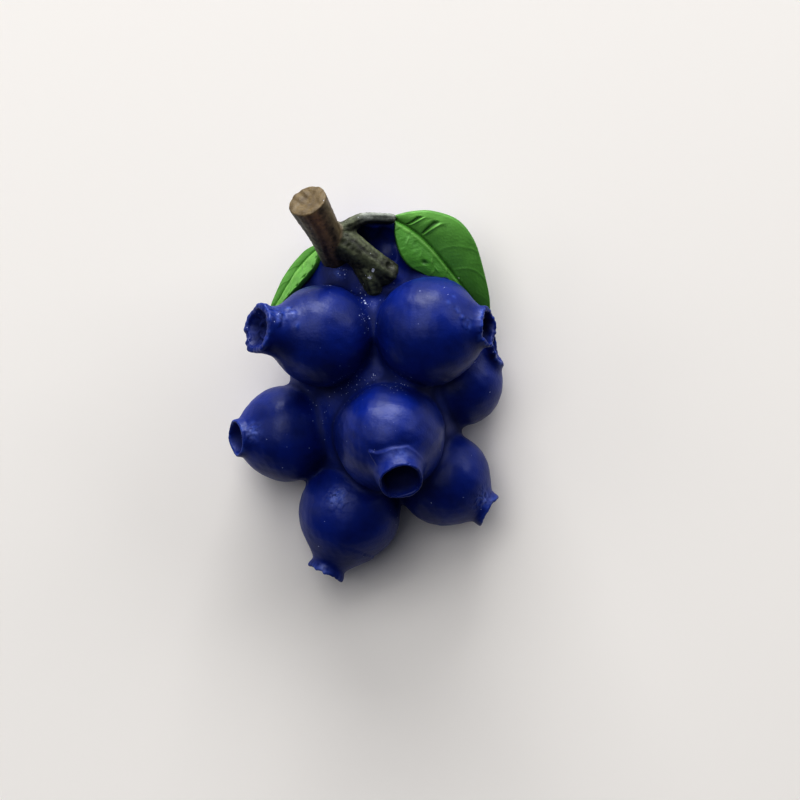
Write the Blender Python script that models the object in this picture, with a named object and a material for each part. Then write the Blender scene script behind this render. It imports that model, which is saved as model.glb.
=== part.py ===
"""A painted resin bunch of seven blueberries with a cut twig and two leaves, lying on its flat back.

Sizes and places are in millimetres and become metres on their way into a mesh. +Z points up, away from
the surface that the flat back rests on, and +Y points from the berries to the twig.
"""

import math
from typing import NamedTuple

import bmesh
import bpy
import numpy as np

MM = 0.001
UP = np.array((0.0, 0.0, 1.0))

# The room left between bodies of different colour.
GAP = 0.3

# Faces that meet at more than this many degrees keep a crisp edge.
CRISP_ANGLE = 40.0


class Berry(NamedTuple):
    """One berry and the hollow crown at its blossom end."""

    centre: tuple
    radius: float
    opening: tuple
    axis: tuple
    neck: float
    spread: float
    rim: float
    lobes: int
    rise: float
    turn: float


# The front three berries stand on the back four. The opening is the middle of the crown's mouth and the
# axis points out of it. Neck and rim are radii, spread is how much wider the neck starts inside the berry,
# and rise is how far a lobe stands over the notch beside it.
BERRIES = {
    "upper_left": Berry(
        (-6.5, 8.3, 14.5), 7.2, (-15.3, 9.4, 20.1), (-0.83, 0.11, 0.54),
        neck=3.3, spread=1.1, rim=3.5, lobes=5, rise=0.3, turn=0.6),
    "upper_right": Berry(
        (8.6, 8.9, 16.0), 7.6, (16.8, 9.4, 18.9), (0.91, 0.05, 0.40),
        neck=2.5, spread=1.3, rim=2.7, lobes=4, rise=0.2, turn=0.2),
    "centre": Berry(
        (3.0, -5.9, 16.0), 7.7, (4.8, -11.9, 23.0), (0.18, -0.64, 0.75),
        neck=2.8, spread=1.2, rim=3.1, lobes=5, rise=0.2, turn=0.9),
    "left": Berry(
        (-11.8, -5.6, 6.5), 7.0, (-19.1, -6.2, 9.9), (-0.88, -0.10, 0.46),
        neck=2.4, spread=1.7, rim=2.6, lobes=4, rise=0.1, turn=0.0),
    "bottom": Berry(
        (-2.9, -16.9, 6.2), 7.4, (-6.4, -25.8, 6.4), (-0.44, -0.89, 0.03),
        neck=2.35, spread=1.75, rim=2.75, lobes=4, rise=0.2, turn=0.8),
    "lower_right": Berry(
        (10.7, -12.1, 6.0), 6.8, (17.3, -16.8, 6.2), (0.85, -0.53, 0.03),
        neck=2.2, spread=1.8, rim=2.5, lobes=2, rise=0.3, turn=0.0),
    "right": Berry(
        (13.1, 1.6, 5.5), 6.2, (18.2, 6.9, 7.6), (0.93, 0.30, 0.12),
        neck=2.2, spread=1.5, rim=2.7, lobes=3, rise=0.5, turn=0.0),
}
BALL_SEGMENTS = 32
BALL_RINGS = 20

# Each crown is a collar on a neck that spreads into the berry, with a cup sunk into the collar. Heights
# are measured from the opening.
CROWN_SIDES = 22
NECK_ROOT = -4.2
NECK_TOP = -1.2
COLLAR_ROOT = -2.6
COLLAR_LIP = -0.35
RIM_WALL = 0.8
RIM_ROUNDING = 0.3
LOBE_FLARE = 0.03

# The cup's cutter, as height over the opening and share of the mouth's radius. It runs out past the rim.
CUP_STATIONS = ((-2.4, 0.6), (-1.7, 0.88), (0.0, 1.0), (2.4, 1.1))

# Balls of the low body that joins the berries, as centre and radius.
CORE = {
    "dome": ((0.0, 16.4, 4.3), 9.2),
    "twig_root": ((-4.4, 16.6, 8.6), 4.6),
    "right_leaf_bed": ((8.6, 18.2, 4.9), 5.8),
    "left_leaf_bed": ((-6.5, 15.0, 4.5), 5.2),
    "shoulder": ((6.8, 13.8, 3.6), 8.5),
    "saddle": ((0.9, 10.0, 10.8), 5.0),
    "heart": ((1.0, 3.5, 7.5), 8.0),
    "web": ((5.2, 1.6, 12.8), 3.6),
    "flank": ((-5.0, 3.2, 5.0), 6.6),
    "belly": ((1.8, -2.9, 4.0), 11.4),
    "stalk_wall_near": ((-2.2, 23.3, 12.2), 1.9),
    "stalk_wall_middle": ((0.3, 23.8, 12.2), 1.8),
    "stalk_wall_far": ((2.8, 23.9, 11.1), 1.8),
}

# Balls of the hollow between the leaf stalk and the limb, as centre and radius.
HOLLOW = {
    "hollow_near": ((-0.6, 20.9, 14.2), 3.0),
    "hollow_far": ((2.2, 21.0, 13.4), 2.8),
}

# Melting the berries into one body: the cell, how often and how strongly it is smoothed, the share of
# faces kept, and how much larger the balls start to make up for what the smoothing takes away.
MELT_CELL = 0.55
MELT_ROUNDS = 8
MELT_SOFTNESS = 0.5
MELT_KEEP = 0.11
MELT_ALLOWANCE = 0.12

# The twig, as stations of centre and radius along each branch.
BRANCH = (
    ((-8.2, 26.6, 21.5), 2.7),
    ((-6.2, 22.9, 17.0), 2.25),
    ((-4.8, 19.9, 12.0), 2.15),
    ((-4.3, 18.8, 9.8), 2.1),
)
LIMB = (
    ((-5.4, 22.5, 14.6), 2.2),
    ((-3.4, 21.4, 15.0), 2.2),
    ((-0.6, 19.4, 14.7), 2.0),
    ((3.5, 17.0, 13.4), 1.7),
)
STUB = (
    ((-1.2, 19.3, 14.2), 1.25),
    ((-0.3, 17.2, 14.2), 1.25),
    ((0.9, 14.3, 13.7), 1.05),
)
STALK = (
    ((-4.0, 22.6, 15.4), 1.1),
    ((-2.5, 23.8, 15.8), 1.0),
    ((-0.4, 24.8, 15.2), 0.8),
    ((3.2, 24.9, 13.4), 0.7),
)
TWIG_SIDES = 14
STALK_SIDES = 8
PATH_STEPS = 4

# Each leaf is carried by three lines from its stalk to its tip: the midrib and its two margins. Camber is
# how far each half bulges, as a share of the leaf's width.
LEAF_THICKNESS = 1.0
LEAF_LENGTH_STEPS = 16
LEAF_HALF_STEPS = 4
LEAF_CAMBER = 0.045
LEAF_RIGHT = {
    "outer": (
        (3.7, 25.4, 12.6), (6.1, 26.0, 12.4), (9.0, 26.1, 12.2), (12.6, 24.9, 11.8),
        (14.9, 22.2, 11.0), (16.2, 18.6, 9.6), (17.3, 14.0, 7.4), (17.3, 10.6, 5.6),
    ),
    "midrib": (
        (3.7, 24.9, 12.3), (5.6, 23.9, 11.9), (7.4, 22.6, 11.4), (9.2, 20.8, 10.8),
        (11.2, 18.4, 9.9), (13.2, 15.9, 8.8), (15.4, 13.0, 7.0), (16.9, 10.6, 5.2),
    ),
    "inner": (
        (3.6, 24.2, 12.6), (3.7, 22.3, 12.9), (4.4, 19.9, 12.9), (5.8, 18.1, 12.2),
        (8.2, 16.9, 10.9), (11.0, 14.9, 9.2), (14.0, 12.4, 7.2), (16.5, 10.6, 5.4),
    ),
}
LEAF_LEFT = {
    "outer": (
        (-7.3, 21.5, 9.3), (-9.1, 20.5, 8.3), (-10.7, 18.9, 7.0), (-12.0, 17.2, 6.2),
        (-13.2, 14.9, 5.6), (-14.0, 12.8, 5.2), (-14.3, 11.4, 5.0),
    ),
    "midrib": (
        (-7.0, 20.9, 9.5), (-8.4, 19.7, 8.9), (-9.9, 18.2, 7.9), (-11.2, 16.3, 7.2),
        (-12.4, 14.4, 6.2), (-13.5, 12.6, 5.4), (-14.0, 11.4, 5.0),
    ),
    "inner": (
        (-6.8, 20.4, 9.8), (-7.2, 18.5, 10.0), (-8.5, 16.9, 9.6), (-10.2, 15.2, 9.0),
        (-11.8, 13.6, 7.8), (-13.0, 12.2, 6.2), (-13.7, 11.4, 5.2),
    ),
}

# The flat back is cut by a slab that reaches past the body on every side.
SLAB = (60.0, 80.0, 12.0)

# The three paints, as colour and roughness.
BLUE = ((0.010, 0.022, 0.23), 0.45)
BARK = ((0.075, 0.065, 0.045), 0.6)
GREEN = ((0.075, 0.25, 0.035), 0.5)


def clear_scene():
    """Remove every object, so that the script builds the same model wherever it is run."""
    for item in list(bpy.data.objects):
        bpy.data.objects.remove(item, do_unlink=True)


def painted(name, paint):
    """A Principled material for one paint."""
    colour, roughness = paint
    material = bpy.data.materials.new(name)
    material.use_nodes = True
    shader = material.node_tree.nodes["Principled BSDF"]
    shader.inputs["Base Color"].default_value = (*colour, 1.0)
    shader.inputs["Roughness"].default_value = roughness
    shader.inputs["Metallic"].default_value = 0.0
    material.diffuse_color = (*colour, 1.0)
    return material


def unit(vector):
    """The vector, or each one of a grid of vectors, at length one."""
    vector = np.asarray(vector, dtype=float)
    return vector / np.linalg.norm(vector, axis=-1, keepdims=True)


def add_object(name, mesh, collection=None):
    """Link a mesh to the scene, or to the given collection, as an object."""
    item = bpy.data.objects.new(name, mesh)
    (collection or bpy.context.scene.collection).objects.link(item)
    return item


def mesh_from(name, points, faces):
    """A mesh with its normals pointing out, from points in millimetres."""
    mesh = bpy.data.meshes.new(name)
    mesh.from_pydata([tuple(point * MM) for point in points], [], faces)
    work = bmesh.new()
    work.from_mesh(mesh)
    bmesh.ops.recalc_face_normals(work, faces=work.faces)
    work.to_mesh(mesh)
    work.free()
    return mesh


def skin_rings(name, rings):
    """A closed mesh through rings of equal size, with a flat cap on each end."""
    sides = len(rings[0])
    points = [point for ring in rings for point in ring]
    faces = [tuple(range(sides)), tuple(range(len(points) - sides, len(points)))]
    for row in range(len(rings) - 1):
        for side in range(sides):
            here = row * sides + side
            there = row * sides + (side + 1) % sides
            faces.append((here, there, there + sides, here + sides))
    return mesh_from(name, points, faces)


def baked(item):
    """Replace an object by a plain one that holds what its modifiers make of its mesh."""
    name = item.name
    bpy.context.view_layer.update()
    graph = bpy.context.evaluated_depsgraph_get()
    mesh = bpy.data.meshes.new_from_object(item.evaluated_get(graph), depsgraph=graph)
    bpy.data.objects.remove(item, do_unlink=True)
    return add_object(name, mesh)


def join_bodies(name, meshes):
    """One object that holds several closed meshes, still separate bodies."""
    work = bmesh.new()
    for mesh in meshes:
        work.from_mesh(mesh)
    joined = bpy.data.meshes.new(name)
    work.to_mesh(joined)
    work.free()
    return add_object(name, joined)


def combine(item, meshes, operation):
    """Apply one Boolean of the item with a collection of closed meshes, and drop the collection."""
    group = bpy.data.collections.new(item.name + "_tools")
    bpy.context.scene.collection.children.link(group)
    for index, mesh in enumerate(meshes):
        add_object(f"{item.name}_tool_{index}", mesh, group)
    step = item.modifiers.new("combine", "BOOLEAN")
    step.operation = operation
    step.operand_type = "COLLECTION"
    step.solver = "EXACT"
    step.collection = group
    result = baked(item)
    for tool in list(group.objects):
        bpy.data.objects.remove(tool, do_unlink=True)
    bpy.data.collections.remove(group)
    return result


def smooth_line(stations, count):
    """Points spread evenly by station number along a Catmull-Rom curve through the stations."""
    stations = np.asarray(stations, dtype=float)
    padded = np.vstack((2 * stations[0] - stations[1], stations, 2 * stations[-1] - stations[-2]))
    place = np.linspace(0.0, len(stations) - 1.0, count)
    index = np.minimum(place.astype(int), len(stations) - 2)
    t = (place - index)[:, None]
    before, start, end, after = (padded[index + step] for step in range(4))
    return 0.5 * (2 * start + (end - before) * t + (2 * before - 5 * start + 4 * end - after) * t**2
                  + (3 * start - before - 3 * end + after) * t**3)


def ball_mesh(name, centre, radius):
    """A closed ball."""
    work = bmesh.new()
    bmesh.ops.create_uvsphere(work, u_segments=BALL_SEGMENTS, v_segments=BALL_RINGS, radius=radius * MM)
    bmesh.ops.translate(work, verts=work.verts, vec=[value * MM for value in centre])
    mesh = bpy.data.meshes.new(name)
    work.to_mesh(mesh)
    work.free()
    return mesh


def crown_ring(berry, height, radius, lobed=False):
    """A ring round the crown's axis at a height over its opening, waved into the crown's lobes if asked."""
    axis = unit(berry.axis)
    across = unit(np.cross(axis, UP))
    upward = np.cross(across, axis)
    angle = np.arange(CROWN_SIDES) * 2 * math.pi / CROWN_SIDES
    wave = np.cos(berry.lobes * angle + berry.turn) * lobed
    spread = radius * (1 + LOBE_FLARE * wave)
    lift = height + 0.5 * berry.rise * wave
    outward = np.cos(angle)[:, None] * across + np.sin(angle)[:, None] * upward
    return np.asarray(berry.opening) + lift[:, None] * axis + spread[:, None] * outward


def neck_mesh(name, berry):
    """The cone that leads from the berry up to its crown."""
    return skin_rings(name, [
        crown_ring(berry, NECK_ROOT, berry.neck * berry.spread),
        crown_ring(berry, NECK_TOP, berry.neck),
    ])


def collar_mesh(name, berry):
    """The solid collar that the cup is sunk into, flared to its rim."""
    return skin_rings(name, [
        crown_ring(berry, COLLAR_ROOT, berry.neck - RIM_ROUNDING),
        crown_ring(berry, NECK_TOP, berry.neck),
        crown_ring(berry, COLLAR_LIP, berry.rim, True),
        crown_ring(berry, 0.0, berry.rim - RIM_ROUNDING, True),
    ])


def cup_mesh(name, berry):
    """The cutter for the hollow of the crown."""
    mouth = berry.rim - RIM_WALL
    return skin_rings(name, [crown_ring(berry, height, mouth * share) for height, share in CUP_STATIONS])


def slab_mesh():
    """The block under the flat back."""
    work = bmesh.new()
    bmesh.ops.create_cube(work, size=1.0)
    bmesh.ops.scale(work, verts=work.verts, vec=[value * MM for value in SLAB])
    bmesh.ops.translate(work, verts=work.verts, vec=(0.0, 0.0, -0.5 * SLAB[2] * MM))
    mesh = bpy.data.meshes.new("slab")
    work.to_mesh(mesh)
    work.free()
    return mesh


def melt(item):
    """Fuse the bodies of one object and fill the grooves between them with soft fillets."""
    cells = item.modifiers.new("cells", "REMESH")
    cells.mode = "VOXEL"
    cells.voxel_size = MELT_CELL * MM
    soft = item.modifiers.new("soft", "SMOOTH")
    soft.factor = MELT_SOFTNESS
    soft.iterations = MELT_ROUNDS
    fewer = item.modifiers.new("fewer", "DECIMATE")
    fewer.ratio = MELT_KEEP
    return baked(item)


def tube_mesh(name, stations, sides, grow):
    """A round tapered branch through its stations, thicker all round by grow."""
    rows = (len(stations) - 1) * PATH_STEPS + 1
    line = smooth_line([(*centre, radius) for centre, radius in stations], rows)
    centres, radii = line[:, :3], line[:, 3] + grow
    tangent = unit(np.gradient(centres, axis=0))
    centres[0] -= tangent[0] * grow
    centres[-1] += tangent[-1] * grow
    across = unit(np.cross(tangent, UP))
    upward = np.cross(across, tangent)
    angle = np.arange(sides)[:, None] * 2 * math.pi / sides
    rings = [
        centres[row] + radii[row] * (np.cos(angle) * across[row] + np.sin(angle) * upward[row])
        for row in range(rows)
    ]
    return skin_rings(name, rings)


def twig_meshes(grow=0.0):
    """The branch, its limb and stub, and the leaf stalk."""
    return [
        tube_mesh("branch", BRANCH, TWIG_SIDES, grow),
        tube_mesh("limb", LIMB, TWIG_SIDES, grow),
        tube_mesh("stub", STUB, TWIG_SIDES, grow),
        tube_mesh("stalk", STALK, STALK_SIDES, grow),
    ]


def leaf_surface(lines):
    """The leaf's middle surface as a grid of points: rows from stalk to tip, columns across both halves."""
    rows = LEAF_LENGTH_STEPS + 1
    outer, midrib, inner = (smooth_line(lines[key], rows) for key in ("outer", "midrib", "inner"))
    share = np.linspace(0.0, 1.0, LEAF_HALF_STEPS + 1)[None, :, None]
    width = np.linalg.norm(outer - inner, axis=1)[:, None, None]
    bulge = LEAF_CAMBER * width * np.sin(math.pi * share) * UP
    near = inner[:, None] * (1 - share) + midrib[:, None] * share + bulge
    far = midrib[:, None] * (1 - share) + outer[:, None] * share + bulge
    return np.concatenate((near, far[:, 1:]), axis=1)


def leaf_mesh(name, lines, grow=0.0):
    """A blade that is as thick on every line along the way it faces, larger all round by grow."""
    surface = leaf_surface(lines)
    along = unit(np.gradient(surface, axis=0))
    across = unit(np.gradient(surface, axis=1))
    facing = unit(np.cross(across, along).mean(axis=(0, 1)))
    surface[:, 0] -= across[:, 0] * grow
    surface[:, -1] += across[:, -1] * grow
    surface[0] -= along[0] * grow
    surface[-1] += along[-1] * grow
    half = facing * (0.5 * LEAF_THICKNESS + grow)
    top, bottom = (surface + half).reshape(-1, 3), (surface - half).reshape(-1, 3)
    return mesh_from(name, np.vstack((top, bottom)), blade_faces(*surface.shape[:2]))


def blade_faces(rows, columns):
    """Triangles, alike on both sides of a blade, and the band of its rim."""
    index = np.arange(rows * columns).reshape(rows, columns)
    count = rows * columns
    faces = []
    for a, b, c, d in zip(*(part.ravel() for part in
                            (index[:-1, :-1], index[:-1, 1:], index[1:, 1:], index[1:, :-1]))):
        for corner in ((a, b, c), (a, c, d)):
            faces.append(corner)
            faces.append(tuple(count + point for point in reversed(corner)))
    rim = np.concatenate((index[0], index[1:, -1], index[-1, -2::-1], index[-2:0:-1, 0]))
    for here, there in zip(rim, np.roll(rim, -1)):
        faces.append((here, there, count + there))
        faces.append((here, count + there, count + here))
    return faces


def build_cluster():
    """The blue body: berries melted into the low core, crowned, cut flat behind and cleared for the rest."""
    bodies = [ball_mesh(name, berry.centre, berry.radius + MELT_ALLOWANCE) for name, berry in BERRIES.items()]
    bodies += [ball_mesh(name, centre, radius) for name, (centre, radius) in CORE.items()]
    bodies += [neck_mesh(name, berry) for name, berry in BERRIES.items()]
    cluster = melt(join_bodies("berry_cluster", bodies))
    collars = [collar_mesh(name, berry) for name, berry in BERRIES.items()]
    cluster = combine(cluster, collars, "UNION")
    cutters = [cup_mesh(name, berry) for name, berry in BERRIES.items()]
    cutters += [ball_mesh(name, centre, radius) for name, (centre, radius) in HOLLOW.items()]
    cutters += [slab_mesh()]
    cutters += twig_meshes(GAP)
    cutters += [leaf_mesh("leaf_right_room", LEAF_RIGHT, GAP), leaf_mesh("leaf_left_room", LEAF_LEFT, GAP)]
    return combine(cluster, cutters, "DIFFERENCE")


def build_twig():
    """The twig as one body."""
    first, *others = twig_meshes()
    return combine(add_object("twig", first), others, "UNION")


def finish(item, material):
    """Give a piece its paint and shade its round faces smooth."""
    item.data.materials.clear()
    item.data.materials.append(material)
    item.data.shade_smooth()
    item.data.set_sharp_from_angle(angle=math.radians(CRISP_ANGLE))


def main():
    """Build the four bodies of colour."""
    clear_scene()
    finish(build_cluster(), painted("blue_paint", BLUE))
    finish(build_twig(), painted("bark_paint", BARK))
    for name, lines in (("leaf_right", LEAF_RIGHT), ("leaf_left", LEAF_LEFT)):
        finish(add_object(name, leaf_mesh(name, lines)), painted(name + "_paint", GREEN))


main()
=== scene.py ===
"""The looks of a painted resin bunch of seven blueberries, lying on its flat back.

Sizes and places are millimetres in the casting's own frame, +Z up from the flat back and +Y from the berries
to the twig. They become metres when points go into a mesh.
"""

import logging
import math
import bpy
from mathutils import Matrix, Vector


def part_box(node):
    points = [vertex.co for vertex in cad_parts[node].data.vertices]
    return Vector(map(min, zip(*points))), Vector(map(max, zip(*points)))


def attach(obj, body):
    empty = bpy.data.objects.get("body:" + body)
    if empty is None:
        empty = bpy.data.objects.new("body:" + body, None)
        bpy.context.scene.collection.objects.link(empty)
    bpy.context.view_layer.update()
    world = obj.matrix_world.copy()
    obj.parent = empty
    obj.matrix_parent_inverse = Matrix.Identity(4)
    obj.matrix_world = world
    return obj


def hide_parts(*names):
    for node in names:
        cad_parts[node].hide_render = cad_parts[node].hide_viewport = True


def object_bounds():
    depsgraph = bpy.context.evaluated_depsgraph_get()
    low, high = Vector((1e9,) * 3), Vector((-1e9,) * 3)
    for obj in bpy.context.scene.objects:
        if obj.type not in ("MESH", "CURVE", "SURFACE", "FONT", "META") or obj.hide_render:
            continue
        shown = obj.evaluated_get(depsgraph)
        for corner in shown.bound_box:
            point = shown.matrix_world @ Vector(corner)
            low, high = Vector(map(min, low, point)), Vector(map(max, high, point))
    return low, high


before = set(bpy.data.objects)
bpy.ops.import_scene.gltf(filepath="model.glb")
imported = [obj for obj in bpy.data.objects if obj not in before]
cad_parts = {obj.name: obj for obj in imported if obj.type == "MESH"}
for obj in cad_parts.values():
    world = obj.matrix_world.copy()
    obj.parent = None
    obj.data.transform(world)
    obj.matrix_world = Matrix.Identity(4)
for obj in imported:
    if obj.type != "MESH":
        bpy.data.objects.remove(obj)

from concurrent.futures import ThreadPoolExecutor
from dataclasses import dataclass, field
from enum import Enum
from functools import reduce
from typing import Any, Callable, Mapping, Sequence

import bpy
import numpy as np
from mathutils import Matrix

LOG = logging.getLogger("blueberry bunch")
CAD_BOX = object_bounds()
MM = 0.001
UP = np.array((0.0, 0.0, 1.0))

# How many points are worked out at a time, and how many such batches side by side.
BATCH = 40_000
WORKERS = 4

# A station is a centre with a radius or a reach. A stretch is the start and end of a value that a finish
# reads, and the low and high shares that it turns them into.
Vec = tuple[float, float, float]
Station = tuple[Vec, float]
Stretch = tuple[float, float, float, float]
Distance = Callable[[np.ndarray], np.ndarray]


class Paint(Enum):
    """The names of the three paints' material slots."""

    BLUE = "blue_paint"
    BARK = "bark_paint"
    GREEN = "green_paint"


# Small tools for colours, nodes and shapes.


def linear(code: str) -> tuple[float, float, float, float]:
    """Turn an sRGB hex colour into the linear colour that a shader takes.

    Args:
        code: The colour as six hex digits after a hash.

    Returns:
        Linear red, green and blue, and an alpha of one.
    """
    values = [int(code[place:place + 2], 16) / 255.0 for place in (1, 3, 5)]
    low, bend, scale, power = 0.04045, 0.055, 12.92, 2.4
    red, green, blue = (
        value / scale if value <= low else ((value + bend) / (1.0 + bend)) ** power for value in values
    )
    return red, green, blue, 1.0


def add(
    tree: bpy.types.NodeTree, kind: str, inputs: Mapping[Any, Any] | None = None, **settings: Any
) -> Any:
    """Add a node, set its properties, and fill or link its inputs.

    Args:
        tree: The node tree that takes the node.
        kind: The node's type name.
        inputs: Values or output sockets, by input name or number.
        settings: Properties of the node.

    Returns:
        The new node.
    """
    node = tree.nodes.new(kind)
    for key, value in settings.items():
        setattr(node, key, value)
    for key, value in (inputs or {}).items():
        if isinstance(value, bpy.types.NodeSocket):
            tree.links.new(value, node.inputs[key])
        else:
            node.inputs[key].default_value = value
    return node


def unit(vector: Sequence[float] | np.ndarray) -> np.ndarray:
    """The vector, or each row of vectors, at length one."""
    vector = np.asarray(vector, dtype=float)
    return vector / np.linalg.norm(vector, axis=-1, keepdims=True)


def fuse(first: np.ndarray, second: np.ndarray, reach: float) -> np.ndarray:
    """Join two bodies with a soft fillet.

    The lower of the two distances, less the squared shortfall of their difference from reach over four
    times reach.

    Args:
        first: Distances to one body.
        second: Distances to the other body.
        reach: The difference in distance at which the fillet starts.

    Returns:
        Distances to the joined body.
    """
    near = np.maximum(reach - np.abs(first - second), 0.0)
    return np.minimum(first, second) - near * near / (4.0 * reach)


def carve(first: np.ndarray, second: np.ndarray, reach: float) -> np.ndarray:
    """The body that two bodies share, with a rounded edge: the mirror image of fuse."""
    return -fuse(-first, -second, reach)


def bell(offset: np.ndarray, width: float) -> np.ndarray:
    """A bell curve: one at no offset, and e to the minus one at an offset of one width."""
    return np.exp(-((offset / width) ** 2))


def ease(value: np.ndarray, start: float, end: float) -> np.ndarray:
    """A smooth step from zero at start to one at end: three t squared less two t cubed."""
    t = np.clip((value - start) / (end - start), 0.0, 1.0)
    return t * t * (3.0 - 2.0 * t)


def closeness(points: np.ndarray, places: Sequence[Station]) -> np.ndarray:
    """One at the middle of any of the places, and falling by a bell curve over each one's reach."""
    near = [bell(np.linalg.norm(points - centre, axis=1), reach) for centre, reach in places]
    return np.maximum.reduce(near)


def wrapped(angle: np.ndarray) -> np.ndarray:
    """An angle brought into the half turn on either side of zero."""
    return (angle + math.pi) % (2.0 * math.pi) - math.pi


def smooth_line(stations: Sequence[Sequence[float]], count: int) -> np.ndarray:
    """Points along a Catmull-Rom curve through the stations, evenly by station number.

    Args:
        stations: The points, of any dimension, that the curve passes through.
        count: How many points to return.

    Returns:
        An array with one row per point.
    """
    given = np.asarray(stations, dtype=float)
    padded = np.vstack((2 * given[0] - given[1], given, 2 * given[-1] - given[-2]))
    place = np.linspace(0.0, len(given) - 1.0, count)
    index = np.minimum(place.astype(int), len(given) - 2)
    t = (place - index)[:, None]
    before, start, end, after = (padded[index + step] for step in range(4))
    return 0.5 * (
        2 * start
        + (end - before) * t
        + (2 * before - 5 * start + 4 * end - after) * t**2
        + (3 * start - before - 3 * end + after) * t**3
    )


@dataclass(frozen=True)
class Ripple:
    """A smooth unplanned relief: plane waves in drawn directions, summed and scaled to the height."""

    wavelength: float
    waves: int = 9
    seed: int = 1
    height: float = 1.0

    def at(self, points: np.ndarray) -> np.ndarray:
        """The sum of sines of each point's run along each wave's heading.

        Args:
            points: Places in millimetres, one per row.

        Returns:
            One value per point, mostly within two heights of zero.
        """
        slowest, fastest = 0.7, 1.4
        draw = np.random.default_rng(self.seed)
        heading = unit(draw.normal(size=(self.waves, points.shape[1])))
        pace = draw.uniform(slowest, fastest, self.waves)
        phase = draw.uniform(0.0, 2.0 * math.pi, self.waves)
        turns = points @ (heading * pace[:, None]).T * (2.0 * math.pi / self.wavelength) + phase
        return self.height * (np.sin(turns).sum(axis=1) / math.sqrt(self.waves / 2.0))


# Skins: triangle meshes that are drawn over a body given by its distances.


@dataclass(frozen=True)
class Skin:
    """A triangle skin: points in millimetres, and faces that wind to the outside."""

    points: np.ndarray
    faces: np.ndarray

    def finer(self, chosen: np.ndarray) -> "Skin":
        """Halve every edge whose two ends are chosen, and open no gap between faces.

        A face with all three edges halved becomes four, and a face with one halved edge becomes two.

        Args:
            chosen: True for each point where the skin is to be finer.

        Returns:
            The finer skin.
        """
        corners = self.faces
        ends = np.stack((corners, np.roll(corners, -1, axis=1)), axis=2).reshape(-1, 2)
        ends.sort(axis=1)
        edges, which = np.unique(ends, axis=0, return_inverse=True)
        which = which.reshape(-1, 3)
        halved = chosen[edges].all(axis=1)
        number = np.where(halved, len(self.points) + np.cumsum(halved) - 1, -1)
        points = np.vstack((self.points, self.points[edges[halved]].mean(axis=1)))
        middle = number[which]
        marks = (middle >= 0).sum(axis=1)
        whole = corners[marks == 0]
        a, b, c = corners[marks == 3].T
        ab, bc, ca = middle[marks == 3].T
        quarters = ((a, ab, ca), (ab, b, bc), (ca, bc, c), (ab, bc, ca))
        four = np.concatenate([np.stack(quarter, 1) for quarter in quarters])
        once, spot = corners[marks == 1], np.argmax(middle[marks == 1] >= 0, axis=1)
        row = np.arange(len(once))
        a, b, c = (once[row, (spot + step) % 3] for step in range(3))
        half = middle[marks == 1][row, spot]
        two = np.concatenate((np.stack((a, half, c), 1), np.stack((half, b, c), 1)))
        return Skin(points, np.concatenate((whole, four, two)))

    def settled(self, distance: Distance, limit: float, steps: int = 3) -> "Skin":
        """Bring every point onto the body's surface by Newton steps along the slope of its distances.

        Args:
            distance: The body.
            limit: The longest step.
            steps: How many steps to take.

        Returns:
            The skin with its points moved.
        """
        points = self.points.copy()
        for _ in range(steps):
            value, slope = steepness(distance, points)
            size = np.sqrt((slope**2).sum(axis=1))
            points -= np.clip(value / size, -limit, limit)[:, None] * slope / size[:, None]
        return Skin(points, self.faces)

    def relaxed(self, share: float = 0.5) -> "Skin":
        """Move every point part of the way to the middle of its neighbours.

        Args:
            share: How much of the way to go.

        Returns:
            The skin with its points moved.
        """
        total = np.zeros_like(self.points)
        count = np.zeros(len(self.points))
        for step in (1, 2):
            other = np.roll(self.faces, -step, axis=1)
            for column in range(3):
                np.add.at(total, self.faces[:, column], self.points[other[:, column]])
                np.add.at(count, self.faces[:, column], 1.0)
        return Skin(self.points + share * (total / count[:, None] - self.points), self.faces)

    def piece(
        self, name: str, material: bpy.types.Material, attributes: Mapping[str, np.ndarray]
    ) -> bpy.types.Object:
        """Make the skin into a smooth-shaded object at the origin.

        Args:
            name: The object's name.
            material: Its material.
            attributes: One number per point for each name that the material reads.

        Returns:
            The object.
        """
        count = len(self.faces)
        mesh = bpy.data.meshes.new(name)
        mesh.vertices.add(len(self.points))
        mesh.vertices.foreach_set("co", (self.points * MM).astype(np.float32).ravel())
        mesh.loops.add(3 * count)
        mesh.loops.foreach_set("vertex_index", self.faces.astype(np.int32).ravel())
        mesh.polygons.add(count)
        mesh.polygons.foreach_set("loop_start", np.arange(0, 3 * count, 3, dtype=np.int32))
        mesh.update(calc_edges=True)
        mesh.shade_smooth()
        for key, values in attributes.items():
            layer = mesh.attributes.new(key, "FLOAT", "POINT")
            layer.data.foreach_set("value", np.asarray(values, dtype=np.float32))
        mesh.materials.append(material)
        item = bpy.data.objects.new(name, mesh)
        bpy.context.scene.collection.objects.link(item)
        return item


def in_batches(distance: Distance, points: np.ndarray) -> np.ndarray:
    """Work out distances in batches side by side, which gives the same numbers as all at once, sooner.

    Args:
        distance: The body.
        points: The places.

    Returns:
        One distance per point.
    """
    batches = [points[start:start + BATCH] for start in range(0, len(points), BATCH)]
    with ThreadPoolExecutor(WORKERS) as crew:
        return np.concatenate(list(crew.map(distance, batches)))


def steepness(distance: Distance, points: np.ndarray, probe: float = 0.02) -> tuple[np.ndarray, np.ndarray]:
    """A body's distances at some points, and how fast they change along each axis.

    Args:
        distance: The body.
        points: The places.
        probe: How far to either side the change is measured.

    Returns:
        The distances and the slopes.
    """
    value = in_batches(distance, points)
    slope = np.empty_like(points)
    for axis in range(3):
        step = np.zeros(3)
        step[axis] = probe
        ahead, behind = in_batches(distance, points + step), in_batches(distance, points - step)
        slope[:, axis] = (ahead - behind) / (2.0 * probe)
    return value, slope


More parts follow.
